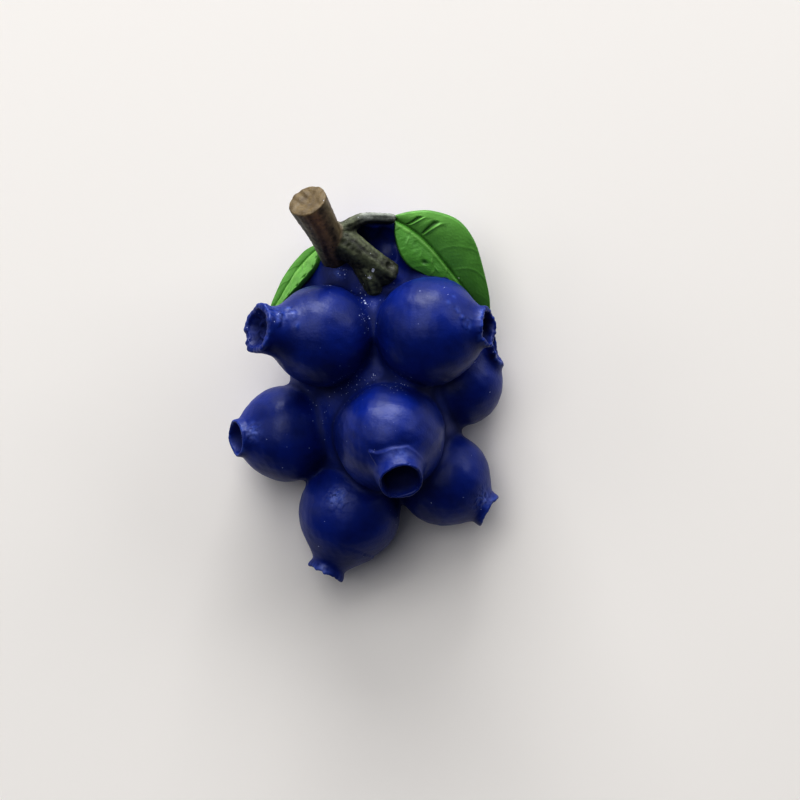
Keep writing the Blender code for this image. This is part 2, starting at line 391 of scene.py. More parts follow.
def sampled(distance: Distance, axes: Sequence[np.ndarray], cell: float) -> np.ndarray:
    """Distances on a grid, exact near the surface and rough elsewhere, where only the sign counts.

    Args:
        distance: The body.
        axes: The grid's places along x, y and z.
        cell: The grid's spacing.

    Returns:
        A three-dimensional array of distances.
    """
    stride, margin = 4, 6.0
    coarse = [axis[::stride] for axis in axes]
    rough = in_batches(distance, np.stack(np.meshgrid(*coarse, indexing="ij"), axis=-1).reshape(-1, 3))
    rough = rough.reshape([len(axis) for axis in coarse])
    nearest = [
        np.minimum((np.arange(len(axis)) + stride // 2) // stride, len(line) - 1)
        for axis, line in zip(axes, coarse)
    ]
    values = rough[np.ix_(*nearest)].copy()
    close = np.abs(values) < margin * cell
    spots = np.argwhere(close)
    places = np.stack([axis[spots[:, number]] for number, axis in enumerate(axes)], axis=1)
    values[close] = in_batches(distance, places)
    return values


CELL_CORNERS = [np.array(((code >> 2) & 1, (code >> 1) & 1, code & 1)) for code in range(8)]


def at_corner(grid: np.ndarray, corner: np.ndarray) -> np.ndarray:
    """The grid's values at one corner of every cell."""
    size = np.array(grid.shape) - 1
    return grid[tuple(slice(start, start + length) for start, length in zip(corner, size))]


def crossing_points(values: np.ndarray, crossed: np.ndarray) -> np.ndarray:
    """The mean of the places where the surface crosses the edges of a cell.

    Args:
        values: Distances at the grid's places.
        crossed: True for each cell that the surface crosses.

    Returns:
        One row per crossed cell, in cells from the grid's lowest corner.
    """
    cells = np.argwhere(crossed)
    total, count = np.zeros((len(cells), 3)), np.zeros(len(cells))
    for first in CELL_CORNERS:
        for axis in range(3):
            if first[axis]:
                continue
            second = first.copy()
            second[axis] = 1
            one, other = at_corner(values, first)[crossed], at_corner(values, second)[crossed]
            cut = (one < 0.0) != (other < 0.0)
            share = np.where(cut, one / np.where(cut, one - other, 1.0), 0.0)
            total += cut[:, None] * (first + share[:, None] * (second - first))
            count += cut
    return cells + total / count[:, None]


def crossing_faces(inside: np.ndarray, number: np.ndarray) -> np.ndarray:
    """A square round each grid edge that the surface crosses, from the points of the four cells there.

    Args:
        inside: True for each of the grid's places that lies inside the body.
        number: The number of each crossed cell's point.

    Returns:
        Two triangles for each square, as rows of three point numbers that wind to the outside.
    """
    faces = []
    for axis in range(3):
        left, right = (axis + 1) % 3, (axis + 2) % 3
        here = [slice(1, -1)] * 3
        here[axis] = slice(0, -1)
        there = list(here)
        there[axis] = slice(1, None)
        start, end = inside[tuple(here)], inside[tuple(there)]
        spots = np.argwhere(start != end)
        leaving = start[tuple(spots.T)]
        offset = np.ones(3, dtype=int)
        offset[axis] = 0
        spots = spots + offset
        ring = []
        for back_left, back_right in ((1, 1), (0, 1), (0, 0), (1, 0)):
            spot = spots.copy()
            spot[:, left] -= back_left
            spot[:, right] -= back_right
            ring.append(number[tuple(spot.T)])
        square = np.stack(ring, axis=1)
        square[~leaving] = square[~leaving][:, ::-1]
        faces += [square[:, (0, 1, 2)], square[:, (0, 2, 3)]]
    return np.concatenate(faces)


def wrap_body(distance: Distance, low: Sequence[float], high: Sequence[float], cell: float) -> Skin:
    """Draw a skin over a body, with one point in each grid cell that the surface crosses.

    The skin is closed, except where the body runs out of the box.

    Args:
        distance: The body, negative inside.
        low: The lowest corner of the box to search.
        high: The highest corner of the box to search.
        cell: The size of a cell.

    Returns:
        The skin, settled on the surface.
    """
    axes = [np.arange(low[axis], high[axis] + cell, cell) for axis in range(3)]
    values = sampled(distance, axes, cell)
    inside = values < 0.0
    filled = sum(at_corner(inside, corner).astype(np.int8) for corner in CELL_CORNERS)
    crossed = (filled > 0) & (filled < len(CELL_CORNERS))
    number = np.full(crossed.shape, -1)
    number[crossed] = np.arange(crossed.sum())
    points = np.asarray(low, dtype=float) + cell * crossing_points(values, crossed)
    return Skin(points, crossing_faces(inside, number)).settled(distance, cell)


def skin_over(distance: Distance, box: Sequence[Sequence[float]], cell: float) -> Skin:
    """Draw a skin over a body near its packed box, even it out, and settle it again.

    Args:
        distance: The body, negative inside.
        box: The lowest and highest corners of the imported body, in metres.
        cell: The size of a cell in millimetres.

    Returns:
        The skin.
    """
    margin = 1.0
    low, high = (np.array(corner) / MM for corner in box)
    return wrap_body(distance, low - margin, high + margin, cell).relaxed().settled(distance, cell)


# The blue casting.


@dataclass(frozen=True)
class Tooth:
    """A stretch of a crown's rim that stands out, or a notch if it is negative."""

    angle: float
    width: float
    lift: float
    flare: float = 0.0


@dataclass(frozen=True)
class Flap:
    """Torn skin that lies flat on the berry round its crown, with a crisp edge.

    Its outline is the reach from the crown's axis at each angle, in degrees, straight between the given ones.
    The edge is how wide its step down is, and the fade is how deep below the mouth it stands up in full.
    """

    angles: tuple[float, ...]
    reaches: tuple[float, ...]
    rise: float = 0.24
    edge: float = 0.16
    fade: float = 0.8

    def relief(self, height: np.ndarray, radial: np.ndarray, angle: np.ndarray) -> np.ndarray:
        """How far the flap stands up, by where points lie as seen from the crown."""
        outline = np.interp(np.degrees(angle) % 360.0, self.angles, self.reaches)
        return self.rise * ease(outline - radial, 0.0, self.edge) * ease(-height, 0.0, self.fade)


@dataclass(frozen=True)
class Pressed:
    """A spot where a berry is pressed flatter: its middle, facing, radius, depth and soft edge."""

    spot: Vec
    facing: Vec
    radius: float
    depth: float
    edge: float = 0.5

    def body(self, points: np.ndarray) -> np.ndarray:
        """Distances to the large ball that the berry is cut down to there."""
        middle = np.array(self.spot) - (self.radius + self.depth) * unit(self.facing)
        return np.linalg.norm(points - middle, axis=1) - self.radius


@dataclass(frozen=True)
class Berry:
    """One berry and the hollow crown at its blossom end.

    The opening is the middle of the crown's mouth, and the axis points out of it. Angles round the crown run
    from the level side of it towards the upper side. The neck and the rim are radii, and the rim has lobes
    that stand up by the rise, stand out by the waviness and start at the turn. The wall and depth are the
    cup's, ragged is the height of the fine tears in its rim, and the button is the radius of a ring on its
    floor. The flare depth and the taper depth are how far below the rim it starts to widen upwards and
    downwards. The root is how deep the neck starts, the cone length is how far down it goes on widening, and
    the melt is the reach of the fillet round it. Tall is the berry's height over its width, and scuffed is
    how worn the paint on the rim is.
    """

    centre: Vec
    radius: float
    opening: Vec
    axis: Vec
    neck: float
    spread: float
    rim: float
    lobes: int
    rise: float
    turn: float
    wall: float = 0.55
    depth: float = 2.4
    ragged: float = 0.06
    button: float = 0.0
    flare_depth: float = 1.9
    taper_depth: float = 1.2
    root: float = 5.4
    cone_length: float = 4.2
    melt: float = 1.7
    waviness: float = 0.03
    tall: float = 1.0
    scuffed: float = 1.0
    teeth: tuple[Tooth, ...] = ()
    flap: Flap | None = None
    pressed: Pressed | None = None

    def ball(self, points: np.ndarray) -> np.ndarray:
        """Distances to the berry's round body, taller than wide if it is tall, and pressed at its spot."""
        body = np.linalg.norm((points - self.centre) / (1.0, 1.0, self.tall), axis=1) - self.radius
        return carve(body, self.pressed.body(points), self.pressed.edge) if self.pressed else body

    def crown_place(self, points: np.ndarray) -> tuple[np.ndarray, np.ndarray, np.ndarray]:
        """Where points lie as seen from the crown.

        Args:
            points: Places in millimetres.

        Returns:
            Height over the opening, distance from the axis, and angle round it.
        """
        axis = unit(self.axis)
        across = unit(np.cross(axis, UP))
        upward = np.cross(across, axis)
        offset = points - self.opening
        side, top = offset @ across, offset @ upward
        return offset @ axis, np.hypot(side, top), np.arctan2(top, side)

    def rim_shape(self, angle: np.ndarray) -> tuple[np.ndarray, np.ndarray]:
        """How far the rim stands up and flares out, from its lobes, its teeth and its fine tears.

        Args:
            angle: Angles round the crown.

        Returns:
            The lift in millimetres and the flare as a share of the radius.
        """
        tear_counts, tear_scale, lean = (7, 13, 22), 1.5, 0.1
        wave = np.cos(self.lobes * angle + self.turn)
        tears = sum(np.sin(count * angle + self.radius * count) for count in tear_counts)
        tears = tears * self.ragged / tear_scale
        lift = 0.5 * self.rise * wave + tears
        flare = self.waviness * wave + lean * tears
        for tooth in self.teeth:
            stand = bell(wrapped(angle - math.radians(tooth.angle)), math.radians(tooth.width))
            lift = lift + tooth.lift * stand
            flare = flare + tooth.flare * stand
        return lift, flare

    def collar(self, points: np.ndarray) -> np.ndarray:
        """Distances to the neck and collar, still solid.

        The radius narrows in a straight cone to the neck, and widens by a smooth step to the rim. The cone is
        the spread times as wide as the neck after its spread run. The side scale makes up for the slant.

        Args:
            points: Places in millimetres.

        Returns:
            One distance per point.
        """
        spread_run, flare_end, side_scale, round_rim = 3.0, -0.2, 0.9, 0.3
        height, radial, angle = self.crown_place(points)
        lift, flare = self.rim_shape(angle)
        run = np.clip(-self.taper_depth - height, 0.0, min(self.root - self.taper_depth, self.cone_length))
        cone = self.neck * (self.spread - 1.0) * run / spread_run
        open_up = ease(height, -self.flare_depth, flare_end)
        radius = self.neck + cone + (self.rim * (1.0 + flare) - self.neck) * open_up
        side = (radial - radius) * side_scale
        ends = np.maximum(height - lift, -self.root - height)
        return carve(side, ends, round_rim)

    def cup(self, points: np.ndarray) -> np.ndarray:
        """Distances to the hollow of the crown: a cup with a round floor, which runs out past the rim.

        Args:
            points: Places in millimetres.

        Returns:
            One distance per point.
        """
        narrower_at_floor, side_scale, overrun, round_floor = 0.25, 0.95, 2.5, 1.2
        height, radial, angle = self.crown_place(points)
        mouth = self.rim * (1.0 + self.waviness * np.cos(self.lobes * angle + self.turn)) - self.wall
        share = 1.0 - narrower_at_floor * ease(-height, 0.0, self.depth)
        dents = Ripple(1.7, seed=13, height=1.6 * self.ragged).at(points)
        side = (radial - mouth * share) * side_scale + dents
        floor = -self.depth - height
        if self.button:
            ring_height, ring_width = 0.4, 0.25
            ring = ring_height * bell(radial - self.button, ring_width)
            floor = floor + ring + Ripple(0.9, 30, seed=15, height=0.12).at(points)
        return carve(side, np.maximum(floor, height - overrun), round_floor)


class Grain(Enum):
    """How a scar's relief runs."""

    BUMP = "one round bump, or a dent if the depth is negative"
    LUMPS = "flat-topped lumps"
    CRUMPLE = "thin sharp folds"


@dataclass(frozen=True)
class Scar:
    """A small patch of lumpy or crumpled paint.

    The other seed is how far the seed of its second ripple is from that of its first, and faded is how many
    reaches from its centre its bell curve has died away.
    """

    centre: Vec
    reach: float
    depth: float
    wavelength: float
    grain: Grain = Grain.CRUMPLE
    seed: int = 3
    other_seed: int = 50
    faded: float = 3.0

    def relief(self, points: np.ndarray) -> np.ndarray:
        """A ripple that a bell curve keeps to the patch.

        Lumps are the ripple's smooth step. Folds are where either of two ripples crosses zero. The paint
        round both lies at a level between their foot and their top.

        Args:
            points: Places in millimetres.

        Returns:
            The relief in millimetres.
        """
        away = bell(np.linalg.norm(points - self.centre, axis=1), self.reach)
        first = Ripple(self.wavelength, seed=self.seed).at(points)
        if self.grain is Grain.BUMP:
            unevenness = 0.2
            return self.depth * away * (1.0 + unevenness * first)
        level = 0.4
        if self.grain is Grain.LUMPS:
            foot, top = -0.2, 0.7
            return self.depth * away * (ease(first, foot, top) - level)
        fold = 0.35
        second = Ripple(self.wavelength, seed=self.seed + self.other_seed).at(points)
        return self.depth * away * (np.maximum(bell(first, fold), bell(second, fold)) - level)


def blueberries() -> dict[str, Berry]:
    """The seven berries. The front three stand on the back four."""
    return {
        "upper_left": Berry(
            (-6.5, 8.3, 14.5), 7.2, (-15.3, 9.15, 20.1), (-0.83, 0.11, 0.54),
            neck=3.3, spread=1.1, rim=3.5, lobes=5, rise=0.16, turn=0.6,
            wall=0.9, depth=1.5, ragged=0.04, button=1.25, root=6.6, cone_length=5.4, scuffed=0.6, teeth=(
                Tooth(-60.0, 8.0, 0.12, 0.03), Tooth(-95.0, 9.0, 0.15, 0.04),
                Tooth(-130.0, 7.0, 0.1, 0.03), Tooth(-152.0, 7.0, 0.1, 0.03))),
        "upper_right": Berry(
            (8.6, 8.9, 16.0), 7.6, (16.8, 9.4, 18.9), (0.91, 0.05, 0.40),
            neck=2.5, spread=1.3, rim=2.7, lobes=4, rise=0.2, turn=0.2,
            teeth=(Tooth(60.0, 20.0, -0.35), Tooth(180.0, 22.0, -0.3, 0.06))),
        "centre": Berry(
            (3.0, -5.9, 13.5), 7.75, (4.6, -11.9, 23.0), (0.18, -0.64, 0.75),
            neck=3.05, spread=1.22, rim=3.1, lobes=4, rise=0.2, turn=3.14,
            wall=0.42, depth=2.8, ragged=0.02, taper_depth=0.3, root=3.6, melt=0.8,
            waviness=0.03, tall=1.32, scuffed=0.15, teeth=(Tooth(262.0, 22.0, 0.25, 0.05),),
            pressed=Pressed((2.1, -2.4, 22.55), (-0.10, 0.56, 0.82), 14.0, 0.3),
            flap=Flap(
                (0.0, 28.0, 40.0, 50.0, 60.0, 71.0, 109.0, 122.0, 131.0, 152.0, 183.0, 202.0, 230.0, 360.0),
                (3.3, 3.2, 3.5, 5.1, 4.4, 4.2, 4.1, 4.2, 4.0, 3.8, 3.8, 3.8, 3.2, 3.3))),
        "left": Berry(
            (-11.8, -5.6, 6.5), 7.0, (-19.1, -6.2, 9.9), (-0.88, -0.10, 0.46),
            neck=2.4, spread=1.7, rim=2.6, lobes=4, rise=0.1, turn=0.0,
            wall=0.4, depth=1.9, ragged=0.006),
        "bottom": Berry(
            (-2.9, -16.9, 6.2), 7.4, (-6.4, -25.8, 6.4), (-0.44, -0.89, 0.03),
            neck=2.35, spread=1.7, rim=2.75, lobes=4, rise=0.2, turn=0.8, root=6.8,
            wall=0.6, ragged=0.05, teeth=(Tooth(75.0, 9.0, -0.25), Tooth(105.0, 7.0, -0.2))),
        "lower_right": Berry(
            (10.7, -12.1, 6.0), 6.8, (17.3, -16.8, 6.2), (0.85, -0.53, 0.03),
            neck=2.2, spread=1.8, rim=2.5, lobes=2, rise=0.3, turn=0.0,
            ragged=0.03, teeth=(Tooth(125.0, 12.0, -0.25),)),
        "right": Berry(
            (13.1, 1.6, 5.5), 6.2, (18.2, 6.9, 7.6), (0.93, 0.30, 0.12),
            neck=2.2, spread=1.5, rim=2.7, lobes=3, rise=0.5, turn=0.0,
            ragged=0.035, teeth=(Tooth(70.0, 10.0, 0.2, 0.05), Tooth(110.0, 9.0, -0.4))),
    }


def core_balls() -> dict[str, Station]:
    """The balls of the low body that joins the berries, as centre and radius."""
    return {
        "dome": ((0.0, 16.4, 4.3), 9.2),
        "twig_root": ((-4.0, 16.7, 8.7), 4.3),
        "right_leaf_bed": ((8.6, 18.2, 4.9), 5.8),
        "left_leaf_bed": ((-6.5, 15.0, 4.5), 5.2),
        "shoulder": ((6.8, 13.8, 3.6), 8.5),
        "saddle": ((0.9, 10.0, 10.8), 5.0),
        "heart": ((1.0, 3.5, 7.5), 8.0),
        "web": ((5.2, 1.6, 12.8), 3.6),
        "flank": ((-5.0, 3.2, 5.0), 6.6),
        "belly": ((1.8, -2.9, 4.0), 11.4),
        "stalk_wall_near": ((-2.2, 23.3, 12.2), 1.9),
        "stalk_wall_middle": ((0.3, 23.8, 12.2), 1.8),
        "stalk_wall_far": ((2.8, 23.9, 11.1), 1.8),
    }


def hollow_balls() -> dict[str, Station]:
    """The balls of the hollow between the leaf stalk and the limb, as centre and radius."""
    return {
        "hollow_near": ((-0.6, 20.9, 14.2), 3.0),
        "hollow_far": ((2.2, 21.0, 13.4), 2.8),
    }


def marks() -> tuple[Scar, ...]:
    """The lumps and crumpled patches on necks and berries."""
    bump_wavelength = 1.1
    bumps = (
        ((-12.1, 10.9, 21.3), 0.55, 0.40), ((-12.3, 9.8, 21.9), 0.45, 0.34),
        ((-13.2, 10.6, 21.9), 0.5, 0.24), ((-11.0, 12.0, 20.0), 0.5, 0.26),
        ((-10.4, 10.9, 20.6), 0.6, 0.36), ((-9.7, 9.4, 21.1), 0.5, 0.2),
        ((-13.9, 12.4, 20.6), 0.45, 0.2), ((-12.4, 12.6, 19.8), 0.4, 0.16),
        ((11.8, 13.7, 21.0), 0.35, -0.14), ((12.3, 11.7, 22.1), 0.45, -0.16),
        ((11.3, 12.6, 22.1), 0.4, 0.12), ((13.2, 10.6, 22.2), 0.5, 0.15),
        ((2.4, -2.9, 22.8), 0.25, -0.08),
    )
    return (
        Scar((-16.4, -5.2, 11.8), 1.2, 0.15, 1.5, seed=4),
        Scar((16.2, -14.9, 9.3), 1.4, 0.16, 1.5, seed=5),
        Scar((-4.6, -14.6, 13.0), 1.4, 0.26, 1.2, seed=6),
        Scar((-12.6, 11.2, 21.0), 1.7, 0.07, 1.5, Grain.LUMPS, seed=7),
        Scar((3.4, 2.0, 18.0), 0.9, 0.06, 1.2, seed=21),
        # Painted highlight: this faint scar mostly lightens the centre crown's flap through the wear paint on
        # scars.
        Scar((4.3, -8.7, 22.6), 1.5, 0.02, 1.6, seed=23),
        Scar((-4.4, 17.2, 13.0), 0.9, 0.03, 1.0, seed=22),
        Scar((13.6, 9.6, 21.8), 0.9, 0.12, 1.6, Grain.LUMPS, seed=10),
        Scar((16.6, 7.4, 15.2), 1.5, 0.22, 1.8, seed=14),
        *(Scar(place, reach, depth, bump_wavelength, Grain.BUMP) for place, reach, depth in bumps),
    )


def worn_places() -> tuple[Station, ...]:
    """Where the paint is chipped most, as centre and reach: mainly in the grooves by the upper berries."""
    return (
        ((-0.4, 12.8, 14.8), 1.0), ((-0.9, 13.6, 14.1), 0.9), ((-1.9, 14.6, 13.4), 0.9),
        ((-5.4, 15.4, 15.6), 1.0), ((-3.6, 17.0, 13.1), 0.8), ((-0.4, 10.4, 17.9), 1.3),
        ((3.2, 13.6, 15.2), 1.0), ((-0.4, 8.6, 14.5), 1.4), ((4.3, 1.6, 18.0), 1.5),
        ((-2.6, 2.1, 15.2), 2.6), ((-5.0, -3.0, 8.0), 3.0), ((2.0, 19.0, 12.5), 1.6),
        ((5.6, 15.9, 14.6), 1.6), ((-16.5, 10.0, 20.5), 1.6),
    )


def rubbed_and_highlight_places() -> tuple[Station, ...]:
    """Where the blue is pale, as centre and reach: a painted highlight on the centre crown, and rubbed paint
    on crumpled paint.
    """
    return (
        ((4.2, -8.3, 22.9), 1.1), ((-10.4, 10.9, 20.6), 0.7), ((-12.2, 10.6, 21.4), 0.6),
        ((-16.4, -5.2, 11.8), 0.9), ((16.9, -15.1, 8.9), 1.0), ((-4.6, -14.6, 13.0), 0.9),
        ((1.4, -0.4, 22.3), 0.8), ((-6.6, -25.2, 8.6), 0.8),
    )


@dataclass
class BlueCasting:
    """The seven berries melted into one low body, with their hollow crowns.

    The swell and the brush marks are waves all over the surface. The melt is the reach of the fillets between
    bodies, the lip is the rounding of edges, and the crown reach is how far from its opening a crown shapes
    the casting. The skin is finer by the fine reach round the crowns.
    """

    berries: dict[str, Berry] = field(default_factory=blueberries)
    core: dict[str, Station] = field(default_factory=core_balls)
    hollow: dict[str, Station] = field(default_factory=hollow_balls)
    scars: tuple[Scar, ...] = field(default_factory=marks)
    worn: tuple[Station, ...] = field(default_factory=worn_places)
    rubbed_and_highlight: tuple[Station, ...] = field(default_factory=rubbed_and_highlight_places)
    swell: Ripple = Ripple(6.0, seed=11, height=0.05)
    brush_marks: Ripple = Ripple(1.5, seed=12, height=0.012)
    melt: float = 1.5
    lip: float = 0.3
    crown_reach: float = 6.0
    cell: float = 0.34
    fine_reach: float = 0.8

    def bodies(self, points: np.ndarray) -> list[np.ndarray]:
        """Distances to the bodies that the casting is melted from.

        Args:
            points: Places in millimetres.

        Returns:
            An array for each berry, and then one for each ball of the core.
        """
        balls = [berry.ball(points) for berry in self.berries.values()]
        core = [np.linalg.norm(points - centre, axis=1) - size for centre, size in self.core.values()]
        return balls + core

    def melted(self, parts: Sequence[np.ndarray]) -> np.ndarray:
        """The distances of all parts fused into one body."""
        return reduce(lambda first, second: fuse(first, second, self.melt), parts)

    def distance(self, points: np.ndarray) -> np.ndarray:
        """Distances to the casting.

        Bodies are fused, the hollow is carved out, collars are fused on, cups are carved out, scars are laid
        on, and the back is cut flat.

        Args:
            points: Places in millimetres.

        Returns:
            One distance per point, negative inside.
        """
        result = self.melted(self.bodies(points))
        for centre, size in self.hollow.values():
            result = carve(result, size - np.linalg.norm(points - centre, axis=1), self.lip)
        result = result - self.swell.at(points) - self.brush_marks.at(points)
        for berry in self.berries.values():
            near = np.linalg.norm(points - berry.opening, axis=1) < self.crown_reach + self.melt
            place = points[near]
            part = result[near]
            if berry.flap:
                part = part - berry.flap.relief(*berry.crown_place(place))
            part = fuse(part, berry.collar(place), berry.melt)
            result[near] = carve(part, -berry.cup(place), self.lip)
        for scar in self.scars:
            near = np.linalg.norm(points - scar.centre, axis=1) < scar.faded * scar.reach
            result[near] -= scar.relief(points[near])
        return carve(result, -points[:, 2], self.lip)

    def rim_nearness(self, points: np.ndarray) -> np.ndarray:
        """How much brushing wore the paint on the crowns' rims and on the scars.

        Args:
            points: Places on the casting.

        Returns:
            One share per point: one on a wholly scuffed rim, and zero well off rims and scars.
        """
        rim_width, scar_share = 0.5, 0.9
        near = np.zeros(len(points))
        for berry in self.berries.values():
            height, radial, angle = berry.crown_place(points)
            lift, _ = berry.rim_shape(angle)
            on_rim = bell(np.hypot(height - lift, radial - berry.rim), rim_width)
            near = np.maximum(near, berry.scuffed * on_rim)
        scars = [(scar.centre, scar.reach) for scar in self.scars]
        return np.maximum(near, scar_share * closeness(points, scars))

    def groove_depth(self, points: np.ndarray) -> np.ndarray:
        """How deep the fillets lie in the grooves between the bodies.

        Args:
            points: Places on the casting.

        Returns:
            One share per point of the deepest that a fillet can be, which is a quarter of its reach.
        """
        parts = self.bodies(points)
        deepest = self.melt / 4.0
        return np.clip((np.minimum.reduce(parts) - self.melted(parts)) / deepest, 0.0, 1.0)

    def cup_share(self, points: np.ndarray) -> np.ndarray:
        """How far down in a hollow crown each point is, where the paint is duller and darkened as painted
        shade.

        Args:
            points: Places on the casting.

        Returns:
            One share per point: one deep on a cup's wall or floor, and zero outside the cups.
        """
        on_wall, off_wall, below_rim, deep = 0.05, 0.3, 0.1, 1.5
        inside = np.zeros(len(points))
        for berry in self.berries.values():
            near = np.linalg.norm(points - berry.opening, axis=1) < self.crown_reach
            height, _, angle = berry.crown_place(points[near])
            lift, _ = berry.rim_shape(angle)
            wall = 1.0 - ease(berry.cup(points[near]), on_wall, off_wall)
            inside[near] = np.maximum(inside[near], wall * ease(lift - height, below_rim, deep))
        return inside

    def fine_places(self, points: np.ndarray) -> np.ndarray:
        """Where the skin is to be finer: near the crowns, the flap and the scars.

        Args:
            points: Places on the casting.

        Returns:
            True for each point there.
        """
        below, above, flap_height, flap_reach, scar_share = -2.6, 1.5, 4.2, 5.6, 1.8
        near = np.zeros(len(points), dtype=bool)
        for berry in self.berries.values():
            height, radial, _ = berry.crown_place(points)
            near |= (height > below) & (height < above) & (radial < berry.rim + self.fine_reach)
            if berry.flap:
                near |= (np.abs(height) < flap_height) & (radial < flap_reach)
        for scar in self.scars:
            near |= np.linalg.norm(points - scar.centre, axis=1) < scar_share * scar.reach
        return near

    def build(self) -> bpy.types.Object:
        """Draw the skin, make it finer round the crowns, and paint it.

        Returns:
            The casting's object.
        """
        skin = skin_over(self.distance, CAD_BOX, self.cell)
        skin = skin.finer(self.fine_places(skin.points)).settled(self.distance, self.cell, steps=2)
        attributes = {
            "groove": self.groove_depth(skin.points),
            "rim": self.rim_nearness(skin.points),
            "cup": self.cup_share(skin.points),
            "worn": closeness(skin.points, self.worn),
            "rubbed_and_highlight": closeness(skin.points, self.rubbed_and_highlight),
        }
        item = skin.piece("blue_casting", BrushedBlue().material(), attributes)
        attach(item, "root")
        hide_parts("berry_cluster")
        return item


# The twig.


@dataclass(frozen=True)
class Branch:
    """A tapering stretch of twig, as stations of centre and radius, with ridged bark.

    The sides are how many ridges go round, and the square is how far its four corners stand out.
    """

    stations: tuple[Station, ...]
    sides: int
    ridge: float
    seed: int
    square: float = 0.0
    steps: int = 16

    def line(self) -> np.ndarray:
        """Centres and radii along the branch, one row each."""
        return smooth_line([(*centre, radius) for centre, radius in self.stations], self.steps + 1)

    def place(self, points: np.ndarray) -> tuple[np.ndarray, np.ndarray, np.ndarray]:
        """Where points lie as seen from the branch.

        Each point takes the stretch of the line that it is nearest to, less the radius there.

        Args:
            points: Places in millimetres.

        Returns:
            Distance to the round surface, run along the line, and angle round it.
        """
        line = self.line()
        best = np.full(len(points), np.inf)
        along, angle = np.zeros(len(points)), np.zeros(len(points))
        run = 0.0
        for start, end in zip(line[:-1], line[1:]):
            stretch = end[:3] - start[:3]
            length = np.linalg.norm(stretch)
            heading = stretch / length
            offset = points - start[:3]
            share = np.clip(offset @ heading / length, 0.0, 1.0)
            side = offset - share[:, None] * stretch
            away = np.linalg.norm(side, axis=1) - (start[3] + share * (end[3] - start[3]))
            across = unit(np.cross(heading, UP))
            upward = np.cross(across, heading)
            closer = away < best
            best = np.where(closer, away, best)
            along = np.where(closer, run + share * length, along)
            angle = np.where(closer, np.arctan2(side @ upward, side @ across), angle)
            run += length
        return best, along, angle

    def streaks(self, along: np.ndarray, angle: np.ndarray) -> np.ndarray:
        """Long ridges that wander: two cosines of the angle, shifted by a ripple stretched along the branch.

        Args:
            along: Run along the branch.
            angle: Angle round the branch.

        Returns:
            The relief between about minus one and one.
        """
        stretched, across, wander, narrow_share, unevenness = 0.3, 1.5, 1.1, 0.35, 0.25
        place = np.stack((stretched * along, across * np.cos(angle), across * np.sin(angle)), axis=1)
        shift = wander * Ripple(3.2, seed=self.seed).at(place)
        broad = np.cos(self.sides * angle + shift)
        narrow = np.cos((2 * self.sides + 1) * angle - 2.0 * shift)
        uneven = (1.0 - unevenness) + unevenness * Ripple(1.6, seed=self.seed + 1).at(place)
        return ((1.0 - narrow_share) * broad + narrow_share * narrow) * uneven

    def distance(self, points: np.ndarray) -> np.ndarray:
        """Distances to the branch with its corners and its bark."""
        away, along, angle = self.place(points)
        return away - self.square * np.cos(4.0 * angle) - self.ridge * self.streaks(along, angle)

    def end_face(self, last: bool) -> tuple[np.ndarray, np.ndarray]:
        """One of the two ends of the branch.

        Args:
            last: Whether it is the end at the last station.

        Returns:
            The end's middle, and the way that it faces.
        """
        line = self.line()[:, :3]
        here, before = (line[-1], line[-2]) if last else (line[0], line[1])
        return here, unit(here - before)


